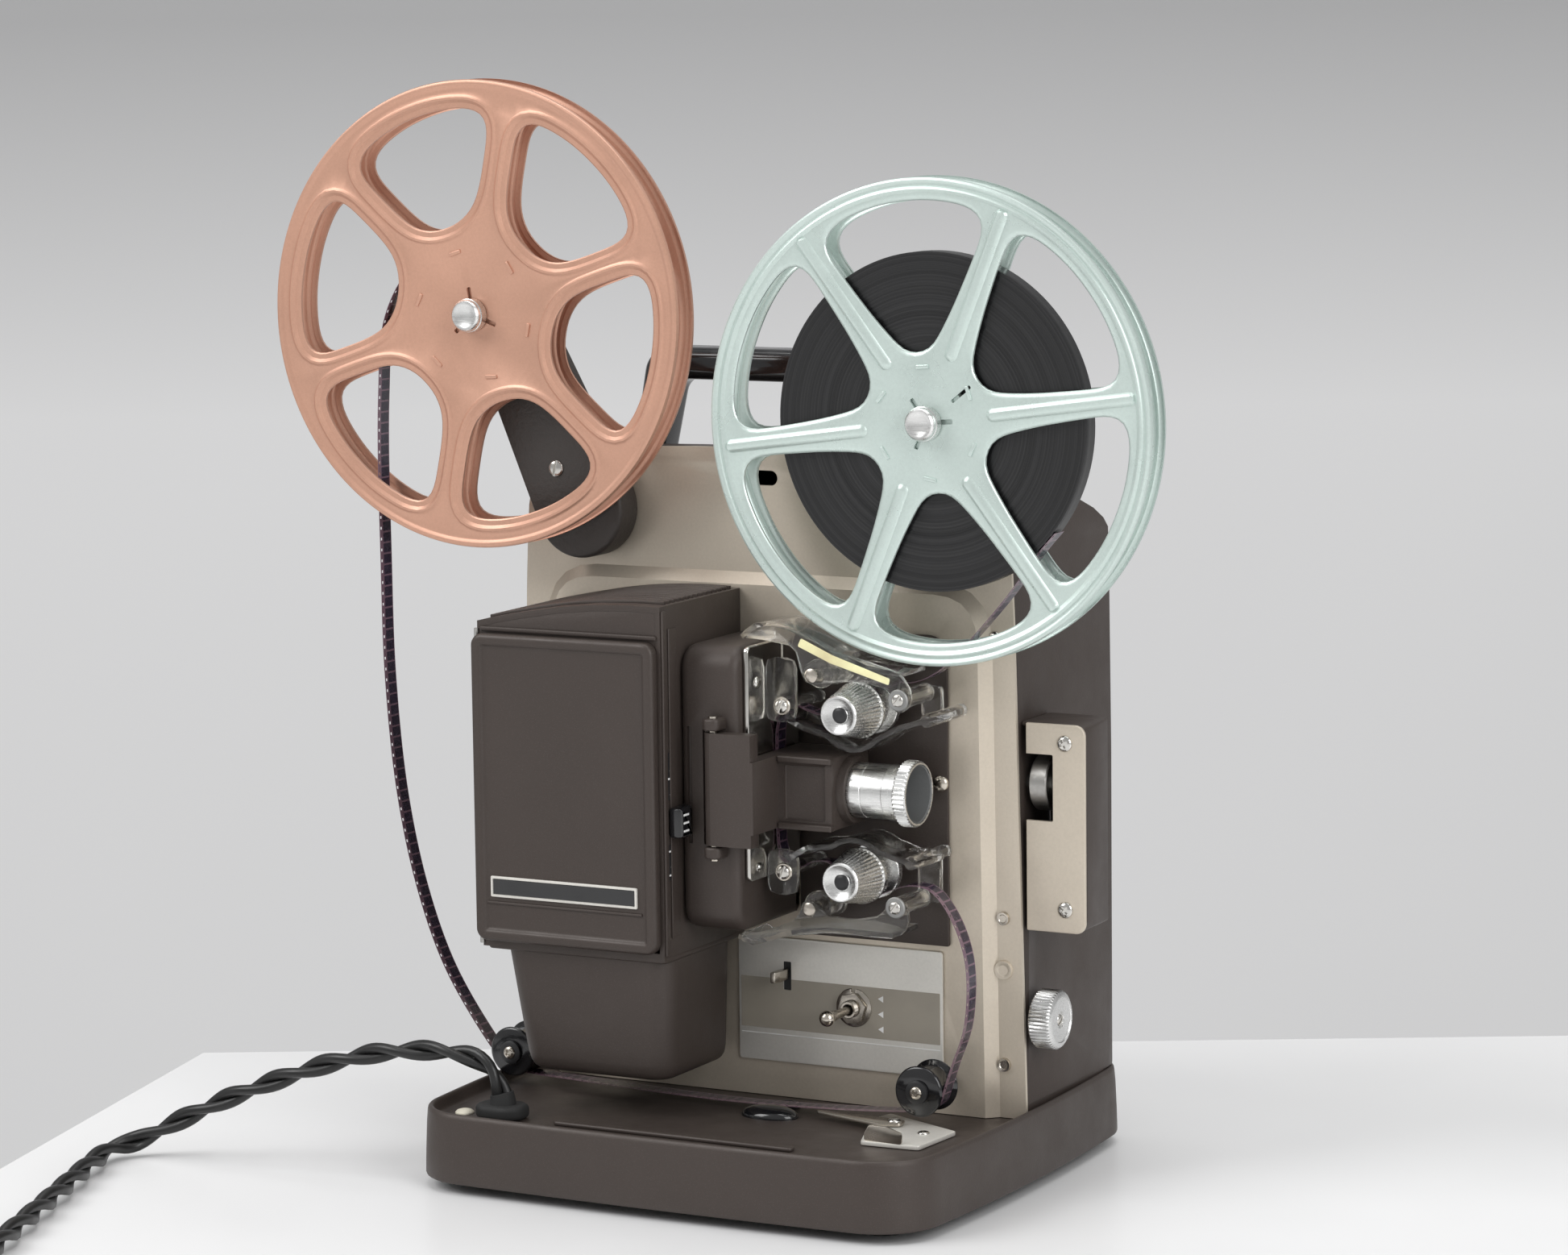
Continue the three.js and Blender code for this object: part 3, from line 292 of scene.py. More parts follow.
def bake(obj):
    """Turns the modifiers into mesh."""
    bpy.context.view_layer.update()
    graph = bpy.context.evaluated_depsgraph_get()
    mesh = bpy.data.meshes.new_from_object(obj.evaluated_get(graph))
    obj.modifiers.clear()
    obj.data = mesh
    return obj


def merge(name, objects, smooth=40):
    """One object out of several, in the first one's material order."""
    bm = bmesh.new()
    for obj in objects:
        bm.from_mesh(obj.data)
    mesh = bpy.data.meshes.new(name)
    bm.to_mesh(mesh)
    bm.free()
    for obj in objects:
        bpy.data.objects.remove(obj)
    whole = bpy.data.objects.new(name, mesh)
    scene.collection.objects.link(whole)
    shade(whole, smooth)
    return whole


def catmull(points, per=6):
    """Centripetal Catmull-Rom through the points."""
    pts = [Vector(p) for p in points]
    pts = [2 * pts[0] - pts[1]] + pts + [2 * pts[-1] - pts[-2]]
    out = []
    for i in range(1, len(pts) - 2):
        p0, p1, p2, p3 = pts[i - 1:i + 3]
        t0 = 0.0
        t1 = t0 + max((p1 - p0).length, 1e-6) ** 0.5
        t2 = t1 + max((p2 - p1).length, 1e-6) ** 0.5
        t3 = t2 + max((p3 - p2).length, 1e-6) ** 0.5
        for s in range(per):
            t = t1 + (t2 - t1) * s / per
            a1 = (t1 - t) / (t1 - t0) * p0 + (t - t0) / (t1 - t0) * p1
            a2 = (t2 - t) / (t2 - t1) * p1 + (t - t1) / (t2 - t1) * p2
            a3 = (t3 - t) / (t3 - t2) * p2 + (t - t2) / (t3 - t2) * p3
            b1 = (t2 - t) / (t2 - t0) * a1 + (t - t0) / (t2 - t0) * a2
            b2 = (t3 - t) / (t3 - t1) * a2 + (t - t1) / (t3 - t1) * a3
            out.append((t2 - t) / (t2 - t1) * b1 + (t - t1) / (t2 - t1) * b2)
    out.append(pts[-2])
    return out


def frames(path):
    """A side and a raise vector at each point of a path, carried along without twist."""
    tangents = [(path[min(i + 1, len(path) - 1)] - path[max(i - 1, 0)]).normalized()
            for i in range(len(path))]
    side = tangents[0].orthogonal().normalized()
    out = []
    for t in tangents:
        side = (side - t * side.dot(t)).normalized()
        out.append((side, t.cross(side)))
    return out


def ring(centre, u, v, r, sides):
    return [tuple(centre + u * (r * math.cos(TAU * k / sides)) + v * (r * math.sin(TAU * k / sides)))
            for k in range(sides)]


def tube(name, path, radius, sides=12, smooth=60):
    """A round bar along a path; radius may be a function of the share of the way along."""
    rings = []
    for i, (p, (u, v)) in enumerate(zip(path, frames(path))):
        r = radius(i / (len(path) - 1)) if callable(radius) else radius
        rings.append(ring(p, u, v, r, sides))
    return loft(name, rings, smooth=smooth)


# ------------------------------------------------------------------ materials
class Shader:
    """A Principled material built up from procedural layers in object space."""

    def __init__(self, name, rough, metal=0.0, **inputs):
        self.material = bpy.data.materials.new(name)
        self.material.use_nodes = True
        self.tree = self.material.node_tree
        self.bsdf = self.tree.nodes["Principled BSDF"]
        self.fill(self.bsdf, {"Roughness": rough, "Metallic": metal, **inputs})
        self.where = self.node("ShaderNodeTexCoord").outputs["Object"]
        self.height = None

    def fill(self, node, inputs):
        """Links sockets and sets plain values; an input is named or numbered, and its _ stand for spaces."""
        for key, value in inputs.items():
            socket = node.inputs[key.replace("_", " ") if isinstance(key, str) else key]
            if isinstance(value, bpy.types.NodeSocket):
                self.tree.links.new(value, socket)
            else:
                socket.default_value = value

    def node(self, kind, inputs=None, **settings):
        made = self.tree.nodes.new(kind)
        for key, value in settings.items():
            setattr(made, key, value)
        self.fill(made, inputs or {})
        return made

    def set(self, socket, value):
        self.fill(self.bsdf, {socket: value})

    def math(self, operation, a, b=0.0):
        return self.node("ShaderNodeMath", {0: a, 1: b}, operation=operation).outputs[0]

    def times(self, a, b):
        return self.math("MULTIPLY", a, b)

    def stretch(self, scale):
        return self.node("ShaderNodeMapping", {"Scale": scale, "Vector": self.where}).outputs["Vector"]

    def noise(self, scale, detail=3.0, source=None):
        return self.node("ShaderNodeTexNoise", {"Scale": scale, "Detail": detail, "Roughness": 0.55,
                                                "Vector": source or self.where}).outputs["Fac"]

    def cells(self, scale):
        return self.node("ShaderNodeTexVoronoi", {"Scale": scale, "Vector": self.where}).outputs["Distance"]

    def ramp(self, value, low, high, a=0.0, b=1.0):
        return self.node("ShaderNodeMapRange", {"From Min": low, "From Max": high, "To Min": a, "To Max": b,
                                                "Value": value}).outputs["Result"]

    def mix(self, factor, a, b):
        """The colour a where factor is 0 and b where it is 1."""
        a, b = ((*v, 1) if isinstance(v, tuple) else v for v in (a, b))
        return self.node("ShaderNodeMix", {0: factor, 6: a, 7: b}, data_type="RGBA").outputs[2]

    def split(self, vector):
        return self.node("ShaderNodeSeparateXYZ", {0: vector}).outputs

    def axis(self, index):
        return self.split(self.where)[index]

    def bump(self, height, strength, distance):
        inputs = {"Strength": strength, "Distance": distance * MM, "Height": height}
        if self.height is not None:
            inputs["Normal"] = self.height
        self.height = self.node("ShaderNodeBump", inputs).outputs["Normal"]
        self.set("Normal", self.height)

    def facing_up(self):
        normal = self.node("ShaderNodeNewGeometry").outputs["Normal"]
        return self.ramp(self.split(normal)[2], 0.3, 0.95)


def scaled(color, k):
    return tuple(min(1.0, c * k) for c in color)


def paint(name, color, rough, metal=0.0, tint=0.12, grain=(2200, 0.35, 0.05), fleck=None, dust=None,
        wander=22):
    """Sprayed metal paint: cloudy colour, fine grain, and flecks and a little dust on top if they are given.

    grain is (scale, strength, depth in mm), fleck (scale, share, reach, colour) and dust (colour, share)."""
    s = Shader(name, rough, metal)
    base = s.mix(s.ramp(s.noise(wander, 4), 0.3, 0.7), scaled(color, 1 - tint), scaled(color, 1 + tint))
    base = s.mix(s.ramp(s.noise(900, 3), 0.35, 0.75, 0, 0.22), base, scaled(color, 0.72))
    if fleck:
        spots = s.ramp(s.cells(fleck[0]), 0.0, fleck[2], 1, 0)
        base = s.mix(s.times(spots, fleck[1]), base, fleck[3])
    if dust:
        settled = s.times(s.facing_up(), s.ramp(s.noise(70, 5), 0.35, 0.75))
        base = s.mix(s.times(settled, dust[1]), base, dust[0])
    s.set("Base Color", base)
    s.set("Roughness", s.ramp(s.noise(60, 4), 0.25, 0.75, rough - 0.07, rough + 0.09))
    s.bump(s.noise(grain[0], 2), grain[1], grain[2])
    return s.material


def metal(name, color, rough, brushed=None, grime=0.25):
    """Bare or plated metal with smudges and fine scratches; brushed = (stretch, scale) adds streaks."""
    s = Shader(name, rough, 1.0)
    s.set("Base Color", s.mix(s.ramp(s.noise(40, 5), 0.3, 0.75), color, scaled(color, 1 - grime)))
    if brushed:
        streak = s.noise(brushed[1], 3, s.stretch(brushed[0]))
        s.set("Roughness", s.ramp(streak, 0.3, 0.7, rough - 0.08, rough + 0.12))
        s.bump(streak, 0.25, 0.02)
    else:
        s.set("Roughness", s.ramp(s.noise(90, 4), 0.3, 0.7, rough - 0.05, rough + 0.1))
    s.bump(s.noise(700, 4, s.stretch((1, 6, 1))), 0.15, 0.01)
    return s.material


def plastic(name, color, rough, tint=0.15, grain=(1200, 0.08, 0.02), coat=None):
    """Moulded plastic, rubber or print; coat = (weight, roughness) is a clear gloss layer."""
    s = Shader(name, rough, **(dict(Coat_Weight=coat[0], Coat_Roughness=coat[1]) if coat else {}))
    s.set("Base Color", s.mix(s.ramp(s.noise(60, 5), 0.35, 0.7), color, scaled(color, 1 + tint * 4)))
    s.set("Roughness", s.ramp(s.noise(120, 5), 0.3, 0.75, max(0.03, rough - 0.05), rough + 0.12))
    s.bump(s.noise(grain[0], 3), grain[1], grain[2])
    return s.material


def clear_plastic():
    s = Shader("clear_plastic", 0.06, IOR=1.46, Transmission_Weight=1.0, Alpha=0.88)
    s.set("Base Color", s.mix(s.ramp(s.noise(45, 4), 0.35, 0.75), (0.97, 0.965, 0.94), (0.93, 0.92, 0.87)))
    s.set("Roughness", s.ramp(s.noise(120, 5), 0.45, 0.8, 0.03, 0.22))
    s.bump(s.noise(260, 4), 0.08, 0.05)
    return s.material


def glass(name, tint, rough=0.02, ior=1.5):
    s = Shader(name, rough, IOR=ior, Transmission_Weight=1.0)
    s.set("Base Color", s.mix(s.ramp(s.noise(30, 3), 0.3, 0.7), tint, scaled(tint, 0.93)))
    return s.material


MATERIALS = {
    "brown": paint("brown_texture_paint", (0.056, 0.043, 0.037), 0.46, 0.2, 0.04, (1500, 0.4, 0.12),
                   fleck=(1400, 0.3, 0.28, (0.14, 0.12, 0.11)), dust=((0.2, 0.18, 0.16), 0.08)),
    "champagne": paint("champagne_metallic_paint", (0.62, 0.55, 0.455), 0.38, 0.4, 0.03, (2600, 0.25, 0.04),
                       fleck=(2600, 0.4, 0.3, (0.75, 0.70, 0.62))),
    "leather_grain": paint("leather_grain_paint", (0.05, 0.042, 0.038), 0.5, 0.1, 0.05, (620, 0.9, 0.3)),
    "copper": paint("copper_metallic_paint", (0.62, 0.35, 0.25), 0.36, 0.5, 0.05, (1800, 0.35, 0.06),
                    fleck=(2000, 0.35, 0.3, (0.78, 0.5, 0.38)), dust=((0.62, 0.42, 0.34), 0.4), wander=16),
    "mint": paint("mint_metallic_paint", (0.62, 0.72, 0.68), 0.3, 0.5, 0.04, (1800, 0.3, 0.04),
                  fleck=(1900, 0.4, 0.3, (0.78, 0.87, 0.84))),
    "aluminium": metal("turned_aluminium", (0.80, 0.80, 0.79), 0.27, ((1, 14, 14), 120)),
    "label": paint("brushed_label", (0.72, 0.70, 0.65), 0.34, 0.25, 0.02, (1800, 0.12, 0.02)),
    "chrome": metal("bright_plate", (0.72, 0.70, 0.66), 0.13, grime=0.35),
    "nickel": metal("nickel_plate", (0.62, 0.57, 0.50), 0.2, grime=0.4),
    "steel": metal("bare_steel", (0.50, 0.49, 0.47), 0.36, ((12, 1, 12), 90)),
    "zinc": metal("motor_zinc", (0.42, 0.42, 0.41), 0.5, grime=0.4),
    "copper_wire": metal("enamelled_wire", (0.55, 0.22, 0.09), 0.35, ((40, 1, 1), 300)),
    "gloss_black": plastic("gloss_black_plastic", (0.006, 0.006, 0.007), 0.14, coat=(0.4, 0.05)),
    "satin_black": plastic("satin_black_plastic", (0.012, 0.012, 0.013), 0.38, grain=(1600, 0.25, 0.05)),
    "rubber": plastic("black_rubber", (0.014, 0.014, 0.014), 0.72, grain=(1300, 0.4, 0.06)),
    "cord": plastic("cord_jacket", (0.010, 0.010, 0.010), 0.34, grain=(900, 0.2, 0.05)),
    "clear": clear_plastic(),
    "lamp_glass": glass("lamp_glass", (0.97, 0.98, 0.98)),
    "lens_glass": glass("coated_lens", (0.80, 0.84, 0.95), 0.01, 1.6),
    "white": plastic("white_print", (0.72, 0.72, 0.70), 0.4),
    "grey_print": plastic("grey_print", (0.33, 0.30, 0.25), 0.4, tint=0.03),
    "cream": plastic("cream_rivet", (0.55, 0.52, 0.43), 0.4),
    "sticker": plastic("pale_sticker", (0.70, 0.62, 0.36), 0.45),
}


# ------------------------------------------------------------------ placing pieces
def place(obj, body, slot, material, *replaces):
    """Gives a piece its material, the body it rides on and the CAD nodes it stands for."""
    obj.data.materials.clear()
    obj.data.materials.append(MATERIALS[material] if isinstance(material, str) else material)
    if body:
        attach(obj, body)
    if replaces:
        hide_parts(*replaces)
    return obj


def soften(node, body, slot, material, bevel=0.5, segments=2, angle=25, smooth=38):
    """Stands a copy of the CAD node with rounded edges in its place."""
    obj = from_cad(node + "_body", node, bevel, segments, angle, smooth)
    return place(obj, body, slot, material, node)


def screw(name, body, at, normal, radius=3.0, kind="slot", turn=0.4, height=1.3, material="chrome"):
    """A domed screw head with a real slot or cross cut into it; at is the point on the surface it sits on."""
    profile = [(0, height), (radius * 0.45, height * 0.96), (radius * 0.78, height * 0.74),
            (radius * 0.95, height * 0.4), (radius, height * 0.12), (radius, -0.3), (0, -0.3)]
    head = lathe(name, "z", 0, 0, profile, 32)
    w = radius * 0.17
    arms = [0.0] if kind == "slot" else [0.0, math.pi / 2]
    reach = radius * (1.2 if kind == "slot" else 0.55)
    for a in arms:
        blade = slab("blade", "z", [(-reach, -w), (reach, -w), (reach, w), (-reach, w)], height * 0.35,
                height * 2, 0.02, 1)
        blade.data.transform(Matrix.Rotation(a, 4, "Z"))
        cut(head, blade, smooth=30)
    aim = Vector(normal).normalized().to_track_quat("Z", "Y").to_matrix().to_4x4()
    head.data.transform(Matrix.Translation(Vector(at) * MM) @ aim @ Matrix.Rotation(turn, 4, "Z"))
    return place(head, body, "bare_steel", material)


# ------------------------------------------------------------------ mains lead, a twisted pair
REST = 4.8              # height of the lead's centre line on the table
LEAD = [(*LEAD_HOLE, 12), (*LEAD_HOLE, 24), (*LEAD_HOLE, 34), (-64.5, -76, 43.5), (-75, -77, 48.5),
        (-92, -78.5, 49), (-110, -80.5, 47), (-130, -83, 42), (-155, -86.5, 33), (-180, -90, 22.5),
        (-199, -93.5, 13), (-212, -99, 6.2), (-216.5, -108, REST), (-212, -126, REST), (-205, -146, REST),
        (-196, -171, REST), (-187, -196, REST), (-175, -230, REST), (-166, -256, REST), (-165.5, -277, REST)]
COIL = (-236.0, -286.0)
COIL_R, LAYER_GAP = 58.4, 9.0       # outer turn; from one turn or layer to the next
PLUG_Y = COIL[1] - 54
LEAD_PITCH, STRAND_R, STRAND_OFF, LEAD_STEP = 44.0, 2.05, 2.0, 2.4


def ease(t):
    t = min(1.0, max(0.0, t))
    return t * t * (3 - 2 * t)


def coil_path():
    """The stored length: in from the outside, up a layer, back out and off to the plug."""
    def at(degrees, r, z):
        a = math.radians(degrees)
        return Vector((COIL[0] + r * math.cos(a), COIL[1] + r * math.sin(a), z))
    out = [at(7.3 - 77.3 * t / 6, 71.07 - 12.67 * ease(t / 6), REST) for t in range(1, 6)]
    turns = 4 + 20 / 360
    steps = 98
    for k in range(steps + 1):
        phase = turns * k / steps
        if phase < 2.27:
            r, z = COIL_R - LAYER_GAP * phase, REST
        elif phase < 2.5:
            r, z = 38.0, REST + LAYER_GAP * ease((phase - 2.27) / 0.23)
        else:
            r, z = 38 + LAYER_GAP * (phase - 2.5), 13.8
        r += 2.0 * ease((phase - 3.7) / 0.35)
        out.append(at(-70 - 360 * phase, r, z))
    return out + [Vector((x, PLUG_Y, z)) for x, z in ((-248, 13.7), (-259, 12.9), (-270, 11.4), (-279, 11))]


def resample(line, spacing):
    """Points a fixed distance apart along a line."""
    out = [line[0]]
    left = spacing
    for p, q in zip(line, line[1:]):
        length = (q - p).length
        while length >= left and length > 0:
            p = p + (q - p) * (left / length)
            out.append(p)
            length = (q - p).length
            left = spacing
        left -= length
    return out


def make_lead():
    sparse = catmull(LEAD, 2) + coil_path()
    smooth_line = resample(catmull(sparse, 6), LEAD_STEP)
    pair = []
    around = frames(smooth_line)
    for phase in (0, math.pi):
        rings = []
        for i, (p, (u, v)) in enumerate(zip(smooth_line, around)):
            a = TAU * i * LEAD_STEP / LEAD_PITCH + phase
            rings.append(ring(p + (u * math.cos(a) + v * math.sin(a)) * STRAND_OFF, u, v, STRAND_R, 10))
        pair.append(loft("strand", rings, smooth=70))
    lead = place(merge("mains_lead", pair, 70), "chassis", "cord_jacket", "cord", "mains_cord", "cord_coil")

    y = PLUG_Y
    body = slab("plug_body", "z", rounded([(-316, y - 9), (-307, y - 12), (-292, y - 8.5), (-292, y + 8.5),
                                           (-307, y + 12), (-316, y + 9)], 4), 0.4, 20.8, 3.2, 4)
    grips = [slab("grip", "y", box_outline(-311 + 4.5 * k, -309.4 + 4.5 * k, 4, 18, 0.7), s * 12.4 + y - 0.8,
                  s * 12.4 + y + 0.8, 0.3) for k in range(3) for s in (-1, 1)]
    cut(body, *grips)
    place(body, "chassis", "plug_black", "satin_black", "mains_plug")
    profile = [(0, -279.5), (4.7, -279.5), (5.0, -281)]
    for k in range(5):
        x = -282.0 - 2.2 * k
        r = 5.1 + 0.42 * k
        profile += [(r, x), (r + 0.7, x - 0.5), (r + 0.7, x - 1.2), (r, x - 1.7)]
    profile += [(7.4, -293.5), (0, -293.5)]
    relief = place(lathe("plug_relief", "x", y, 11, profile, 32), "chassis", "plug_black", "satin_black")
    pins = merge("plug_pins", [slab("pin", "x", box_outline(y + s * 6 - 0.8, y + s * 6 + 0.8, 7.8, 14.2,
            0.35), -334, -314, 0.35) for s in (-1, 1)])
    place(pins, "chassis", "bare_steel", "nickel")
    inner = box_outline(34.2, 63.8, 0.28, 19.2, 4, 4)
    outer = box_outline(33.0, 65.0, 0.02, 20.4, 4.6, 4)
    spot = math.radians(150)
    out, side = Vector((math.cos(spot), math.sin(spot))), Vector((-math.sin(spot), math.cos(spot)))

    def band(outline, off):
        return [(COIL[0] + out.x * a + side.x * off, COIL[1] + out.y * a + side.y * off, z)
                for a, z in outline]
    place(loft("lead_tie", [band(inner, -2.4), band(outer, -2.4), band(outer, 2.4), band(inner, 2.4)],
            closed=True, smooth=50), "chassis", "black_rubber", "rubber")


make_lead()


def make_grommet():
    """Two-lobed rubber bush in the deck and the tapered sleeve that the lead leaves through."""
    flange = slab("cord_bush", "z", rounded([(-70.6, -79.5), (-66, -83), (-55.5, -83), (-50.6, -79.5),
            (-50.6, -71.5), (-55.5, -67.8), (-66, -67.8), (-70.6, -71.5)], 5, 8), 25.7, 31.0, 1.8, 4)
    for s in (-1, 1):
        cut(flange, lathe("flute", "z", -60.6 + s * 0.2, -75.4 + s * 13.2, [(5.4, 20), (5.4, 40)], 32))
    place(flange, "chassis", "black_rubber", "rubber", "cord_grommet")
    line = resample(catmull(LEAD, 10), 1.0)
    start = next(i for i, p in enumerate(line) if p.z > 27)
    run = line[start:start + 8]
    place(tube("cord_sleeve", run, lambda t: 5.4 - 0.9 * t, 28, 50), "chassis", "black_rubber", "rubber")


make_grommet()

# ------------------------------------------------------------------ base tray
BASE = (-91.6, 122.9, -98.75, 98.75)        # left, right, front, back


def base_plan(by):
    """The tray's bowed outline with its round corners, moved inwards by a distance."""
    l, r, f, b = BASE[0] + by, BASE[1] - by, BASE[2] + by, BASE[3] - by
    c, steps = 25.0 - by, 10
    mx, my = (l + r) / 2, (f + b) / 2

    def bow(p, m, q):
        return [((1 - t) ** 2 * p[0] + 2 * t * (1 - t) * m[0] + t * t * q[0],
                 (1 - t) ** 2 * p[1] + 2 * t * (1 - t) * m[1] + t * t * q[1]) for t in
                [k / steps for k in range(1, steps)]]

    def turn(x, y, a):
        angles = [math.radians(a + 90 * k / steps) for k in range(steps + 1)]
        return [(x + c * math.cos(t), y + c * math.sin(t)) for t in angles]
    out = bow((l + c, f), (mx, f - 3), (r - c, f)) + turn(r - c, f + c, -90)
    out += bow((r, f + c), (r + 6, my), (r, b - c)) + turn(r - c, b - c, 0)
    out += bow((r - c, b), (mx, b + 3), (l + c, b)) + turn(l + c, b - c, 90)
    out += bow((l, b - c), (l - 6, my), (l, f + c)) + turn(l + c, f + c, 180)
    return out


def make_base():
    profile = [(7, 22.5), (4.4, 22.4), (3.4, 21.4), (3.1, 20), (3.0, 5.2), (2.7, 4.3), (2.0, 4.0), (0.9, 4.0),
            (0.3, 4.3), (0.0, 5.2), (0.25, 14), (0.7, 24), (1.1, 28.6), (1.4, 29.8), (2.0, 30.4), (2.7, 30.5),
            (3.3, 30.1), (3.7, 29.0), (4.0, 27.0), (4.5, 26.1), (5.3, 25.65), (7, 25.5)]
    tray = loft("base_tray_body", [[(x, y, z) for x, y in base_plan(i)] for i, z in profile], smooth=50)
    cut(tray, lathe("hole", "z", *LEAD_HOLE, [(5.4, 0), (5.4, 40)], 32),
        slab("hole", "z", box_outline(98.4, 108.6, 18.2, 26.6, 0.5), 0, 40, 0.1, 1), smooth=50)
    place(tray, "chassis", "brown_paint", "brown", "base_tray")
    place(slab("deck_step", "z", box_outline(-37, 63.5, -78.5, -74.2, 1.4), 25.4, 27.2, 0.8, 4), "chassis",
            "brown_paint", "brown")
    for name, x, y in (("foot_front_left", -69, -76), ("foot_front_right", 100, -76),
                       ("foot_rear_left", -69, 76), ("foot_rear_right", 100, 76)):
        place(lathe(name + "_pad", "z", x, y, [(0, 0.9), (3.2, 0.9), (3.6, 0), (7.6, 0), (8.6, 0.5), (9, 1.4),
                (8.6, 3), (8.2, 3.8), (0, 3.8)], 48), "chassis", "black_rubber", "rubber", name)
        place(lathe(name + "_boss", "z", x, y, [(0, 3.9), (7.6, 3.9), (7.6, 22.6), (0, 22.6)], 40), "chassis",
                "brown_paint", "brown")
    place(lathe("deck_rivet", "z", -77.7, -74.7, [(0, 27.2), (1.6, 27.1), (2.9, 26.7), (3.6, 26.0),
            (3.7, 25.3), (0, 25.3)], 32), "chassis", "bright_aluminium", "cream")
    dome = loft("deck_dome", [[(29.5 + 11.5 * k * math.cos(TAU * i / 40),
            -30.6 + 7.2 * k * math.sin(TAU * i / 40), z) for i in range(40)]
            for k, z in ((1, 25.3), (1, 26.2), (0.96, 27.1), (0.86, 28), (0.65, 28.9), (0.35, 29.4),
            (0.05, 29.5))], smooth=50)
    place(dome, "chassis", "gloss_black", "gloss_black")
    place(lathe("deck_disc", "z", 27.9, -15.3, [(0, 27), (3.2, 27), (3.6, 27.4), (5.2, 27.2), (5.8, 26.5),
            (5.9, 25.3), (0, 25.3)], 32), "chassis", "gloss_black", "satin_black")


make_base()


# ------------------------------------------------------------------ housing: front panel, shell, box and handle
def make_housing():
    soften("front_panel", "chassis", "champagne_paint", "champagne", 0.6, 3, 20, 32)
    soften("rear_shell", "chassis", "brown_paint", "brown", 1.0, 3, 32, 32)
    plate = slab("mechanism_plate_body", "y", rounded([(28.5, 90, 1), (91, 90, 1), (91, 207, 8),
            (28.5, 207, 1)], 1, 8), -2.2, -1.0, 0.35)
    for at in (UPPER, LOWER):
        cut(plate, lathe("hole", "y", *at, [(3.6, -5), (3.6, 5)], 32))
    place(plate, "chassis", "brown_paint", "brown", "mechanism_plate")
    soften("side_box_cover", "chassis", "brown_paint", "brown", 1.2, 3, 30, 32)
    bracket = slab("side_bracket_body", "y", rounded([(119.6, 97.5, 0.6), (143.5, 97.5, 4), (143.5, 175.5, 4),
                                                      (119.6, 175.5, 0.6)], 4, 8), 4.9, 6.5, 0.45, 3)
    cut(bracket, slab("window", "y", box_outline(117, 130.6, 139, 164, 0.6), 0, 10, 0.1, 1))
    place(bracket, "chassis", "champagne_paint", "champagne", "side_bracket_plate")
    screw("bracket_screw_top", "chassis", (135.4, 4.9, 168.5), (0, -1, 0), 3.1, "cross", 0.5)
    screw("bracket_screw_low", "chassis", (135.4, 4.9, 106.3), (0, -1, 0), 3.1, "cross", 0.9)

    half, x, top, leg, bar = (62.9, 75.4), 11.4, 308.5, 12.0, 12.5
    outer = rounded([(x - half[1], 240, 0.04), (x + half[1], 240, 0.04), (x + half[0], top, 11),
                     (x - half[0], top, 11)], 9, 10)
    inner = rounded([(x + half[1] - leg, 240, 0.04), (x + half[0] - leg, top - bar, 7),
                     (x - half[0] + leg, top - bar, 7), (x - half[1] + leg, 240, 0.04)], 7, 10)
    # Outer edge from the left foot over the top to the right foot, then back along the inside.
    hoop = slab("carry_handle_body", "y",
            outer[2:] + outer[:1] + inner[-1:] + inner[-2:0:-1] + inner[:1] + outer[1:2], 26, 44, 4.6, 6, 50)

    def trim(bm):
        slice_below(bm, Vector((0, 9, 274.6)) * MM, Vector((0, 34.5, 88.5)).normalized())
        outward(bm)
    edit(hoop, trim, 50)
    place(hoop, "chassis", "gloss_black", "gloss_black", "carry_handle")


make_housing()


# ------------------------------------------------------------------ reels
REELS = {
    "takeup": {"front": -26.75, "back": -13.6, "spoke": 18.8, "paint": "copper", "slot": "copper_paint",
               "half": [(34.5, 0), (35.2, 8), (37, 13.5), (41, 19.3), (47, 22.4), (60, 24.4), (71, 24.7),
                        (75.6, 23.2), (77.8, 19), (78.4, 9.5), (78.4, 0)]},
    "supply": {"front": -28.75, "back": -15.2, "spoke": 7.9, "paint": "mint", "slot": "mint_paint",
               "half": [(25.6, 0), (26.2, 8), (28.2, 12.8), (32, 16.4), (39, 20.3), (46, 22.6), (55, 24.3),
                        (65, 25.5), (73, 25.8), (77.4, 24.6), (79.9, 20.5), (80.6, 10), (80.6, 0)]},
}


def polar(hub, r, degrees):
    a = math.radians(degrees)
    return hub[0] + r * math.cos(a), hub[1] + r * math.sin(a)


def turned(centre, radians, points):
    """Points (along, across) laid out from a centre in a direction."""
    c, s = math.cos(radians), math.sin(radians)
    return [(centre[0] + u * c - v * s, centre[1] + u * s + v * c) for u, v in points]


def opening(hub, half, middle, grow):
    """One opening's smooth outline, grown into the metal by grow. half is half of it, as (radius, degrees)."""
    count = 64
    pts = [polar(hub, r, middle + d) for r, d in half]
    pts += [polar(hub, r, middle - d) for r, d in reversed(half[1:-1])]
    line = catmull([(x, z, 0) for x, z in pts + pts[:3]], 8)[8:-16 + 1]
    loop = line[:len(pts) * 8]
    length = sum((loop[i] - loop[i - 1]).length for i in range(len(loop)))
    even = resample(loop + [loop[0]], length / count)[:count]
    flat = [(p.x, p.y) for p in even]
    for _ in range(2):
        flat = [((a[0] + 2 * b[0] + c[0]) / 4, (a[1] + 2 * b[1] + c[1]) / 4)
                for a, b, c in zip(flat[-1:] + flat[:-1], flat, flat[1:] + flat[:1])]
    return inset(flat, -grow) if grow else flat


def circle(hub, r, count=180):
    """Points round a hub."""
    return [polar(hub, r, 360 * k / count) for k in range(count)]


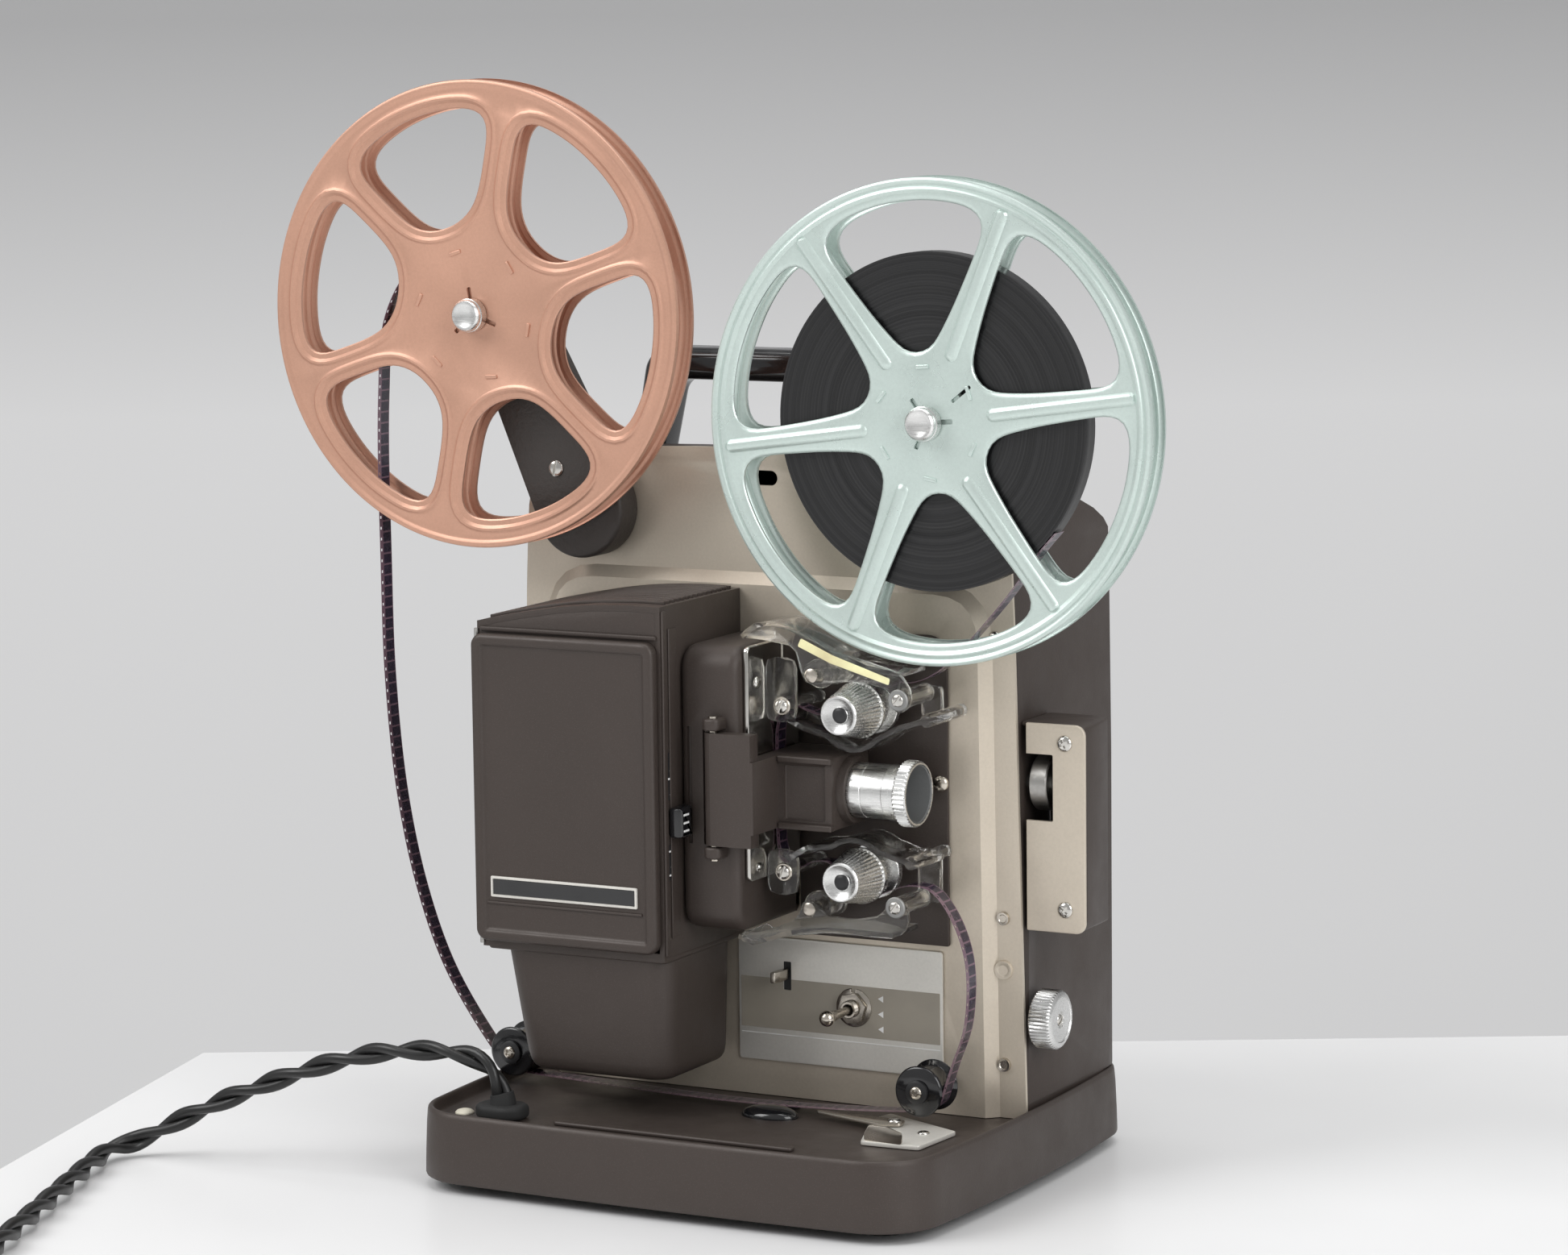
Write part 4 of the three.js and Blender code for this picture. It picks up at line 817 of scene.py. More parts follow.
def flange(name, hub, spec, face, way):
    """A pressed flange. face is where its outer side lies, way is -1 if that side looks towards -Y."""
    thick = 1.0
    copper = spec["paint"] == "copper"
    rings = []          # (outline, height)
    if copper:
        rim = [(89, 0.0), (88.7, 0.7), (88.0, 1.0), (86.9, 0.9), (86.2, 0.45), (85.6, 0.35)]
        lips = [(0, -0.35), (0.5, 0.0), (2.3, 0.05), (2.9, 0.5), (3.5, 0.95), (4.3, 1.0), (4.9, 0.55),
                (5.4, 0.3)]
    else:
        rim = [(89, -0.1), (88.7, 0.7), (88.0, 1.1), (87.1, 0.95), (86.4, 0.35), (85.9, 0.3), (85.4, 0.8),
                (84.7, 1.05), (84.0, 0.75), (83.3, 0.3)]
        lips = [(0, -0.6), (0.35, -0.15), (1.0, 0.15), (1.9, 0.3)]
    for r, h in rim:
        rings.append((circle(hub, r), h))
    holes = []
    for i in range(6):
        middle = spec["spoke"] + 30 + 60 * i
        for k, (grow, h) in enumerate(lips):
            rings.append((opening(hub, spec["half"], middle, grow), h))
            if k == 0:
                holes.append(rings[-1][0])
    if not copper:
        for i in range(6):
            along = math.radians(spec["spoke"] + 60 * i)
            for wide, r0, r1, h in ((2.5, 24.5, 83.6, 0.3), (1.5, 25.6, 83.0, 1.25), (0.8, 26.4, 82.6, 1.4)):
                rings.append((turned(hub, along, box_outline(r0, r1, -wide, wide, wide * 0.9, 3)), h))
    keyway = box_outline(3.6, 10.6, -0.9, 0.9, 0.6, 3)
    keys = [turned(hub, math.radians((100 if copper else 125) + 120 * k), keyway) for k in range(3)]
    if not copper and way < 0:          # the slit that holds the film's end
        keys.append(turned(hub, math.radians(38), box_outline(13, 22.5, -0.7, 0.7, 0.5, 3)))
    rings.append((circle(hub, BORE_R, 40), 0.3))
    verts, edges, heights = [], [], []
    for outline, h in rings:
        base = len(verts)
        verts += [Vector(p) for p in outline]
        heights += [h] * len(outline)
        edges += [(base + i, base + (i + 1) % len(outline)) for i in range(len(outline))]
    rest = 0.35 if copper else 0.3
    out = delaunay_2d_cdt(verts, edges, [], 0, 1e-4)
    points, faces, origin = out[0], out[2], out[3]
    level = [max((heights[j] for j in src), default=rest) if src else rest for src in origin]

    def inside(p, loop):
        hit = False
        for i in range(len(loop)):
            (x1, y1), (x2, y2) = loop[i - 1], loop[i]
            if (y1 > p[1]) != (y2 > p[1]) and p[0] < (x2 - x1) * (p[1] - y1) / (y2 - y1) + x1:
                hit = not hit
        return hit
    kept = []
    for tri in faces:
        c = sum((points[v] for v in tri), Vector((0, 0))) / len(tri)
        r = (c - Vector(hub)).length
        if r > REEL_R or r < BORE_R:
            continue
        if 24 < r < 82 and any(inside(c, h) for h in holes):
            continue
        kept.append(tri)
    bm = bmesh.new()
    front = [bm.verts.new((p.x * MM, (face + way * level[i]) * MM, p.y * MM)) for i, p in enumerate(points)]
    for f in kept:
        try:
            bm.faces.new([front[v] for v in f])
        except ValueError:
            pass
    loose = [v for v in bm.verts if not v.link_faces]
    bmesh.ops.delete(bm, geom=loose, context="VERTS")
    extruded = bmesh.ops.extrude_face_region(bm, geom=bm.faces[:])
    moved = [g for g in extruded["geom"] if isinstance(g, bmesh.types.BMVert)]
    bmesh.ops.translate(bm, verts=moved, vec=(0, -way * thick * MM, 0))
    outward(bm)
    mesh = bpy.data.meshes.new(name)
    bm.to_mesh(mesh)
    bm.free()
    obj = bpy.data.objects.new(name, mesh)
    scene.collection.objects.link(obj)
    for key in keys:
        cut(obj, slab("key", "y", key, face - 3, face + 3, 0.05, 1), smooth=32)
    shade(obj, 32)
    return obj


def make_reel(side):
    hub, spec = HUBS[side], REELS[side]
    body, front, back = side + "_reel", spec["front"], spec["back"]
    place(flange(side + "_flange_front", hub, spec, front + 0.5, -1), body, spec["slot"], spec["paint"],
            side + "_reel_front")
    place(flange(side + "_flange_rear", hub, spec, back - 0.5, 1), body, spec["slot"], spec["paint"],
            side + "_reel_rear")
    core = lathe(side + "_core", "y", *hub, [(4.4, front + 1.6), (16, front + 1.6), (16.3, front + 2.2),
            (16.3, back - 2.2), (16, back - 1.6), (4.4, back - 1.6)], 64, closed=True)
    place(core, body, spec["slot"], spec["paint"])
    tabs = []
    for k in range(6):
        a = spec["spoke"] + (29 if side == "takeup" else 26) + 60 * k
        x, z = polar(hub, 20.5 if side == "supply" else 24.5, a)
        shape = turned((x, z), math.radians(a + (90 if k % 2 else 75)),
                box_outline(-2.6, 2.6, -0.7, 0.7, 0.35, 3))
        tabs.append(slab("tab", "y", shape, front - 0.3, front + 0.4, 0.22, 2))
    place(merge(side + "_core_tabs", tabs), body, spec["slot"], spec["paint"])
    profile = [(0, front - 6.1), (3.6, front - 6.1), (4.3, front - 6.5), (5.2, front - 6.5),
            (5.7, front - 6.1), (6.2, front - 5.2), (6.3, front - 4.6), (6.0, front - 4.4),
            (6.0, front - 4.0), (6.4, front - 3.8), (6.4, front - 0.5), (6.1, front - 0.25),
            (3.9, front - 0.25), (3.9, -3.9), (0, -3.9)]
    place(lathe(side + "_spindle_cap", "y", *hub, profile, 64), body, "bright_aluminium", "aluminium",
            side + "_spindle")


def film_edge_material():
    """Side view of wound film: hundreds of fine rings, some layers darker or standing slightly proud."""
    s = Shader("wound_film", 0.3)
    x = s.math("SUBTRACT", s.axis(0), HUBS["supply"][0] * MM)
    z = s.math("SUBTRACT", s.axis(2), HUBS["supply"][1] * MM)
    r = s.math("SQRT", s.math("ADD", s.times(x, x), s.times(z, z)))
    line = s.node("ShaderNodeCombineXYZ", {0: r}).outputs[0]
    fine = s.noise(1500, 2, line)
    broad = s.noise(260, 4, line)
    base = s.mix(s.ramp(broad, 0.35, 0.68), (0.003, 0.003, 0.0035), (0.010, 0.010, 0.011))
    base = s.mix(s.ramp(fine, 0.45, 0.7, 0, 0.55), base, (0.035, 0.034, 0.035))
    s.set("Base Color", base)
    s.set("Roughness", s.ramp(broad, 0.3, 0.7, 0.24, 0.45))
    s.bump(fine, 0.55, 0.12)
    return s.material


def film_strip_material():
    """Processed film: near-black purple frames with paler frame lines; uv is (along, across) in millimetres."""
    s = Shader("film_ribbon", 0.22, Coat_Weight=0.3, Coat_Roughness=0.08)
    uv = s.node("ShaderNodeTexCoord").outputs["UV"]
    along, across = s.split(uv)[:2]
    frames_along = s.math("DIVIDE", along, FILM_PITCH)
    within = s.math("FRACT", frames_along)
    frame_line = s.ramp(s.math("ABSOLUTE", s.math("SUBTRACT", within, 0.5)), 0.40, 0.44)
    side = s.ramp(s.math("ABSOLUTE", s.math("SUBTRACT", across, 4.9)), 2.55, 2.75)
    lines = s.math("MAXIMUM", frame_line, side)
    picture_light = s.node("ShaderNodeTexWhiteNoise", {"W": s.math("FLOOR", frames_along)},
            noise_dimensions="1D")
    base = s.mix(s.ramp(s.noise(0.9, 3, uv), 0.35, 0.7), (0.010, 0.007, 0.018), (0.045, 0.028, 0.06))
    base = s.mix(s.times(picture_light.outputs["Value"], 0.4), base, (0.02, 0.015, 0.03))
    base = s.mix(s.times(lines, 0.75), base, (0.22, 0.13, 0.17))
    s.set("Base Color", base)
    s.set("Roughness", s.ramp(s.noise(200, 3), 0.3, 0.7, 0.16, 0.32))
    return s.material


def ribbon(name, path_xz):
    """8 mm film standing on edge along (x, z) points, with a perforation every frame near its front edge."""
    line = resample(catmull([(x, z, 0) for x, z in path_xz], 10), FILM_PITCH / 4)
    rows = [0.0, 0.55, 1.5, 8.0]        # across the film; the perforations lie between the second and third
    half_thick = 0.075
    verts, faces, uvs = [], [], []
    count = len(line)
    for i, p in enumerate(line):
        t = (line[min(i + 1, count - 1)] - line[max(i - 1, 0)]).normalized()
        n = Vector((-t.y, t.x, 0)) * half_thick
        for q in (p + n, p - n):
            for row in rows:
                verts.append((q.x, FILM_FRONT + row, q.y))
                uvs.append((i * FILM_PITCH / 4, row))

    def at(i, sheet_side, j):
        return i * 8 + sheet_side * 4 + j
    for i in range(count - 1):
        hole = i % 4 == 1
        for j in range(3):
            if hole and j == 1:
                for jj in (1, 2):
                    faces.append((at(i, 0, jj), at(i + 1, 0, jj), at(i + 1, 1, jj), at(i, 1, jj)))
                continue
            faces.append((at(i, 0, j), at(i + 1, 0, j), at(i + 1, 0, j + 1), at(i, 0, j + 1)))
            faces.append((at(i, 1, j), at(i, 1, j + 1), at(i + 1, 1, j + 1), at(i + 1, 1, j)))
        if hole:
            for k in (i, i + 1):
                faces.append((at(k, 0, 1), at(k, 0, 2), at(k, 1, 2), at(k, 1, 1)))
        for j in (0, 3):
            faces.append((at(i, 0, j), at(i, 1, j), at(i + 1, 1, j), at(i + 1, 0, j)))
    for k in (0, count - 1):
        for j in range(3):
            faces.append((at(k, 0, j), at(k, 0, j + 1), at(k, 1, j + 1), at(k, 1, j)))
    obj = new_object(name, verts, faces, 35, uvs)
    return edit(obj, outward, 35)


def arc(centre, r, a, b, n):
    """n + 1 points from a to b degrees."""
    return [polar(centre, r, a + (b - a) * k / n) for k in range(n + 1)]


def make_film():
    film = film_strip_material()
    hub = HUBS["supply"]
    feed = arc(hub, 62.6, -38, -46, 1) + [(125, 224.5), (108.5, 206.5), (98, 197), (90, 193), (82, 191.8),
            (74, 191.4)]
    feed += arc(UPPER, 9.1, 88, 150, 2)
    take = arc(LOWER, 9.4, 200, 300, 6) + [(77.5, 114), (86, 116.6), (94, 115.5), (102, 107), (108.5, 90),
            (108, 66), (102.5, 50)]
    take += arc(RIGHT_ROLLER, 8.2, -10, -90, 4) + [(60, 29.6), (11, 28), (-50, 29.3)]
    take += arc(LEFT_ROLLER, 8.2, -90, -135, 2)
    take += [(-98, 41.5), (-116, 68), (-128, 98), (-136.4, 135), (-140.8, 180), (-141.6, 225), (-141, 290),
            (-137, 322), (-125, 340), (-110, 344.5), polar(HUBS["takeup"], 16.7, 92)]
    gate = [polar(UPPER, 9.1, 150), (55.2, 180.6), (50, 178.2), (44, 179.6), (38.5, 181.2), (33.8, 178.8),
            (31.3, 172.5), (30.85, 166), (30.85, 150), (30.85, 134), (31.4, 127), (34.2, 121.3), (39, 119.6),
            (45, 122.4), (51, 123.2), (56, 120.6), polar(LOWER, 9.4, 200)]
    strips = (("film_feed", feed, "film_feed_run"), ("film_gate", gate, None),
            ("film_takeup", take, "film_takeup_run"))
    for name, path, node in strips:
        strip = ribbon(name + "_ribbon", path)
        place(strip, None if node else "chassis", "film_stock", film, *([node] if node else []))
        if node == "film_feed_run":
            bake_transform(strip)
        if node == "film_takeup_run":
            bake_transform(strip)
    rng = random.Random(4)
    profile = [(16.6, -25.0)]
    rings = 46
    for k in range(rings):
        r = 16.6 + (62 - 16.6) * (k + 1) / rings
        profile.append((r - 0.08, -25.0 + rng.uniform(0.0, 0.28)))
    profile += [(62.0, -24.6), (62.0, -17.2), (61.6, -17.0), (16.6, -17.0)]
    place(lathe("wound_film", "y", *hub, profile, 128, closed=True, smooth=70), "supply_reel", "film_stock",
            film_edge_material(), "film_pack")


for reel in ("takeup", "supply"):
    make_reel(reel)
make_film()


def make_arms():
    for side, pivot in ARM_PIVOTS.items():
        hub = HUBS[side]
        away = math.degrees(math.atan2(hub[1] - pivot[1], hub[0] - pivot[0]))
        far = math.hypot(hub[1] - pivot[1], hub[0] - pivot[0])
        lean = math.degrees(math.asin(4.5 / far))
        outline = arc(pivot, 19, away + 90 - lean, away + 270 + lean, 40)
        outline += arc(hub, 14.5, away - 90 + lean, away + 90 - lean, 30)
        place(slab(side + "_arm_body", "y", outline, -10.75, 3.0, 1.6, 4, 50), side + "_arm", "brown_paint",
                "leather_grain", side + "_arm")
    screw("takeup_arm_screw", "takeup_arm", (-70.4, -10.75, 264.2), (0, -1, 0), 3.3, "slot", 1.35)
    screw("supply_arm_screw", "supply_arm", (84.9, -10.75, 259.2), (0, -1, 0), 3.3, "slot", 0.3)


make_arms()


# ------------------------------------------------------------------ lamp house
def make_lamp_house():
    house = from_cad("lamp_house_box", "lamp_house", 0, 1)

    def keep_top(bm):
        slice_below(bm, (0, 0, 88.02 * MM), (0, 0, 1))
        flatten(bm)
        bevel_edges(bm, 0.5, 0.7, 3)
        outward(bm)
    edit(house, keep_top, 38)
    place(house, "chassis", "brown_paint", "brown", "lamp_house")
    roof = [(p.x, p.y) for p in catmull([(x, z, 0) for x, z in ((1.6, 220.7), (-10, 220.8), (-25, 220.2),
            (-40, 218.6), (-55, 216), (-67, 213.6), (-73.4, 212.2))], 4)]
    ribs = []
    for k in range(15):
        y = -55.4 + 3.6 * k
        line = [(x, z - 0.6) for x, z in roof] + [(x, z + 1.1) for x, z in reversed(roof)]
        ribs.append(slab("rib", "y", line, y - 0.85, y + 0.85, 0.4, 2, 50))
    place(merge("lamp_house_ribs", ribs), "chassis", "brown_paint", "brown")
    brow = [(-73.4, 205), (1.8, 205), (1.8, 219.2)] + [(x, z - 1.2) for x, z in roof[1:]]
    steps = [slab("step", "y", brow, -62.9, -61, 0.4, 2),
             slab("step", "z", box_outline(3.4, 4.5, -62.6, -59.8, 0.5), 90, 219, 0.4, 2),
             slab("step", "z", box_outline(3.4, 4.2, -57.6, -51.8, 0.4), 96, 212, 0.35, 2),
             slab("step", "y", box_outline(-73.5, 2.2, 208.2, 209.9, 0.8), -64.0, -62.8, 0.5, 2)]
    place(merge("lamp_house_steps", steps), "chassis", "brown_paint", "brown")

    def section(z, by):
        t = (z - 41) / 48
        x0, x1, y0, y1 = -61 - 8 * t, 2 + t, -60 - 1.5 * t, -7 + t
        return [(x, y, z) for x, y in box_outline(x0 + by, x1 - by, y0 + by, y1 - by, max(2.0, 10 - by), 8)]
    outer = [(88.4, 0), (70, 0), (52, 0), (47, 0.1), (44, 0.6), (42.4, 1.5), (41.4, 2.9), (41, 5)]
    inner = [(43, 6), (43.6, 4.4), (45.5, 2.9), (48, 2.2), (60, 2), (88.4, 2)]
    place(loft("lamp_bucket", [section(z, by) for z, by in outer + inner], closed=True, smooth=50), "chassis",
            "brown_paint", "brown")
    skirt = slab("lamp_house_skirt", "z", box_outline(-73.5, 3.6, -62.6, -2.5, 2.0), 87.0, 89.6, 0.8, 3)
    cut(skirt, slab("hole", "z", box_outline(-66, 0.4, -58.5, -9, 6), 80, 95, 0.1, 1))
    place(skirt, "chassis", "brown_paint", "brown")

    rings = [(2.5, -63.3), (0.3, -63.3), (0, -63.7), (0, -66.4), (0.25, -67.1), (0.8, -67.6), (1.5, -67.8),
            (3.2, -67.8), (3.8, -67.65), (4.2, -67.2), (4.6, -66.75), (5.4, -66.6), (9, -66.6)]
    cover = loft("lamp_cover_panel", [lift("y", box_outline(-75.6 + by, 2.4 - by, 91 + by, 207.5 - by,
            max(1.2, 4.5 - by), 8), y) for by, y in rings], smooth=50)
    place(cover, "lamp_house_cover", "brown_paint", "brown", "lamp_house_cover")
    badge = slab("cover_badge_frame", "y", box_outline(-68.7, -5.5, 108.0, 115.9, 0.5), -67.5, -66.4, 0.3, 2)
    cut(badge, slab("well", "y", box_outline(-67.8, -6.4, 108.9, 115.0, 0.3), -70, -67.1, 0.05, 1))
    place(badge, "lamp_house_cover", "bright_aluminium", "label")
    place(slab("cover_badge_field", "y", box_outline(-67.7, -6.5, 109.0, 114.9, 0.3), -67.25, -66.9, 0.1, 1),
          "lamp_house_cover", "gloss_black", "gloss_black")
    place(slab("cover_trim_line", "y", box_outline(-70.6, -3.6, 105.2, 106.3, 0.4), -67.2, -66.5, 0.4, 2),
          "lamp_house_cover", "brown_paint", "brown")
    pins = [lathe("pin", "z", -75.2, -63.3, [(0, a), (0.9, a), (0.9, b), (0, b)], 20)
            for a, b in ((89.2, 93), (205.5, 209))]
    place(merge("cover_hinge_pins", pins), "chassis", "bare_steel", "steel")

    glass_profile = [(0, 117.5), (6, 117.5), (9.2, 119.5), (11.4, 124), (12, 130), (12, 158), (11.2, 163),
            (8.6, 167.6), (4, 169.8), (1.2, 170.2), (0.8, 171.0), (0, 171.2)]
    place(lathe("lamp_envelope", "z", *LAMP, glass_profile, 48, smooth=60), "chassis", "lamp_glass",
            "lamp_glass", "lamp_bulb")
    base = [(0, 91.3), (5, 91.3), (5.4, 92.6), (9, 93), (9, 97), (8.2, 97.6), (8.2, 101), (9, 101.6),
            (9, 111), (8.2, 112), (7.0, 117.6), (0, 117.6)]
    place(lathe("lamp_base", "z", *LAMP, base, 40), "chassis", "chrome_plate", "nickel")
    wires = [tube("wire", catmull([(-12 + s * 4, -32, 117), (-12 + s * 4.4, -32, 132),
            (-12 + s * 5, -32, 144), (-12 + s * 3.4, -32, 147)], 6), 0.35, 8) for s in (-1, 1)]
    coils = []
    for s in (-1.2, 1.2):
        path = [Vector((-12 - 3.4 + 6.8 * k / 120, -32 + s + 0.7 * math.cos(k * 0.9),
                147 + 0.7 * math.sin(k * 0.9))) for k in range(121)]
        coils.append(tube("coil", path, 0.18, 6))
    place(merge("lamp_filament", wires + coils), "chassis", "bare_steel", "steel")
    place(lathe("lamp_socket", "z", *LAMP, [(9.3, 90.9), (13.5, 90.9), (13.5, 98.5), (12.8, 99.5),
            (9.3, 99.5)], 40, closed=True), "chassis", "gloss_black", "satin_black")

    lever = slab("function_lever_knob", "x", rounded([(-60, 134.5), (-51.5, 134), (-51.5, 146), (-60, 145.5)],
            0.8), 3.9, 10, 1.6, 3)
    place(lever, "function_lever", "gloss_black", "gloss_black", "function_lever")
    marks = [slab("mark", "x", box_outline(-58.6, -54.6, z, z + 0.8, 0.2), 9.9, 10.12, 0.05, 1)
            for z in (136.6, 139.6, 142.6)]
    place(merge("function_lever_marks", marks), "function_lever", "label_aluminium", "white")
    plates = [slab("strip", "x", box_outline(-60.2, -52.6, a, b, 0.5), 3.1, 3.7, 0.15, 1)
            for a, b in ((148, 166), (118, 131.5))]
    place(merge("function_lever_track", plates), "chassis", "gloss_black", "satin_black")
    lines = [slab("mark", "x", box_outline(-58.8 + 1.2 * (k % 3), -54.4, z, z + 0.7, 0.2), 3.6, 3.8, 0.05, 1)
             for k, z in enumerate((119.6, 122.6, 125.6, 128.6, 149.8, 152.8, 155.8, 158.8, 161.8))]
    place(merge("function_lever_scale", lines), "chassis", "label_aluminium", "white")


make_lamp_house()


# ------------------------------------------------------------------ shutter housing, gate and lens
def make_optics():
    side = rounded([(-49.8, 98, 9), (-1.3, 98, 1), (-1.3, 205, 1), (-49.8, 205, 9)], 6, 8)
    box = slab("shutter_box", "x", side, 3.8, 28, 3.6, 5, 50)
    cut(box, slab("room", "x", [(-47, 101), (2, 101), (2, 202), (-47, 202)], 6.4, 25.4, 0.1, 1),
        lathe("hole", "x", *LENS_AXIS, [(5.2, 0), (5.2, 35)], 40),
        slab("slot", "y", box_outline(7, 8.8, 131, 175, 0.4), -53, -48.1, 0.1, 1),
        slab("slot", "y", box_outline(13.6, 15.4, 131, 175, 0.4), -53, -48.1, 0.1, 1), smooth=50)
    place(box, "chassis", "brown_paint", "brown", "shutter_housing")
    place(slab("slot_shadow", "y", box_outline(6.6, 15.8, 130.6, 175.4, 0.4), -48.08, -47.9, 0.02, 1),
            "chassis", "gloss_black", "satin_black")
    ears = [slab("ear", "z", rounded([(16.5, -56.9, 2.6), (23.5, -56.9, 2.6), (23.5, -47, 0.3),
            (16.5, -47, 0.3)], 1), a, b, 0.9, 3) for a, b in ((174.7, 179.2), (126.8, 131.3))]
    place(merge("hinge_ears", ears), "chassis", "brown_paint", "brown")
    pins = [lathe("pin", "z", 20, -53.5, [(0, a), (1.6, a), (1.6, b), (0, b)], 24)
            for a, b in ((172, 180.0), (126, 134))]
    place(merge("hinge_pins", pins), "chassis", "bare_steel", "nickel")
    rail = slab("gate_rail_body", "x", box_outline(-45, -5, 117, 205, 2.4), 28.3, 30.3, 0.5, 3)
    cut(rail, lathe("hole", "x", *LENS_AXIS, [(3.5, 20), (3.5, 40)], 32),
        slab("track", "x", box_outline(-24.8, -17.2, 112, 210, 0.1), 29.9, 33, 0.05, 1))
    place(rail, "chassis", "chrome_plate", "chrome", "gate_rail")
    screw("gate_screw", "chassis", (30.2, -38, 191), (1, 0, 0), 2.3, "slot", 0.8)
    screw("gate_screw_low", "chassis", (30.2, -38, 121.5), (1, 0, 0), 2.0, "slot", 0.2)

    carriage = from_cad("lens_carriage_body", "lens_carriage", 0, 1)

    def round_off(bm):
        bevel_edges(bm, 0.6, 0.8, 3)
        outward(bm)
    edit(carriage, round_off, 38)
    cut(carriage, slab("panel", "y", box_outline(40.6, 57.6, 140.2, 160.8, 1.0), -40, -35.6, 0.3, 2),
            smooth=38)
    place(carriage, "lens_carriage", "brown_paint", "brown", "lens_carriage")
    flanges = [slab("lip", "z", box_outline(38.2, 60.6, -38.4, -34.5, 0.8), a, b, 0.6, 3)
            for a, b in ((161.8, 164.2), (136.8, 139.2))]
    collar = lathe("collar", "x", *LENS_AXIS, [(10.6, 59), (12.8, 59), (12.6, 61.6), (12.0, 63.0),
            (11.2, 63.4), (10.6, 63.2)], 64, closed=True)
    place(merge("carriage_trim", flanges + [collar]), "lens_carriage", "brown_paint", "brown")

    profile = [(7.2, 46), (9.8, 46), (10.2, 46.6), (10.2, 68.4), (10.0, 68.6), (10.0, 69.0), (10.2, 69.2),
            (10.2, 77.5), (10.4, 77.8), (10.4, 80.4), (10.2, 80.7), (10.2, 82.6), (11.6, 82.9), (12.1, 83.4),
            (12.1, 87.6), (11.9, 88.0), (11.7, 88.4), (11.0, 88.4), (10.9, 88.0), (8.9, 75.6), (7.2, 75.6)]
    place(lathe("lens_barrel_body", "x", *LENS_AXIS, profile, 264, closed=True, smooth=28,
            knurl=({13, 14}, 0.34, 44)), "lens_barrel", "lens_metal", "aluminium", "lens_barrel")
    baffle = lathe("lens_baffle", "x", *LENS_AXIS, [(10.85, 88.1), (10.5, 87.8), (8.2, 76.6), (6.9, 75.9),
            (7.0, 75.5), (8.6, 75.7)], 96, closed=True)
    place(baffle, "lens_barrel", "lens_metal", paint("anodised_grey", (0.17, 0.175, 0.175), 0.6, 0.4, 0.06,
            (2400, 0.3, 0.04)))
    place(lathe("lens_glass", "x", *LENS_AXIS, [(0, 75.8), (3, 75.6), (5.2, 75.2), (6.8, 74.4), (6.8, 72.0),
            (0, 72.0)], 96, smooth=60), "lens_barrel", "lamp_glass", "lens_glass")
    place(lathe("lens_rear_glass", "x", *LENS_AXIS, [(0, 50), (6.9, 50), (6.9, 48.6), (5, 47.6), (0, 47.1)],
            64, smooth=60), "lens_barrel", "lamp_glass", "lens_glass")


make_optics()


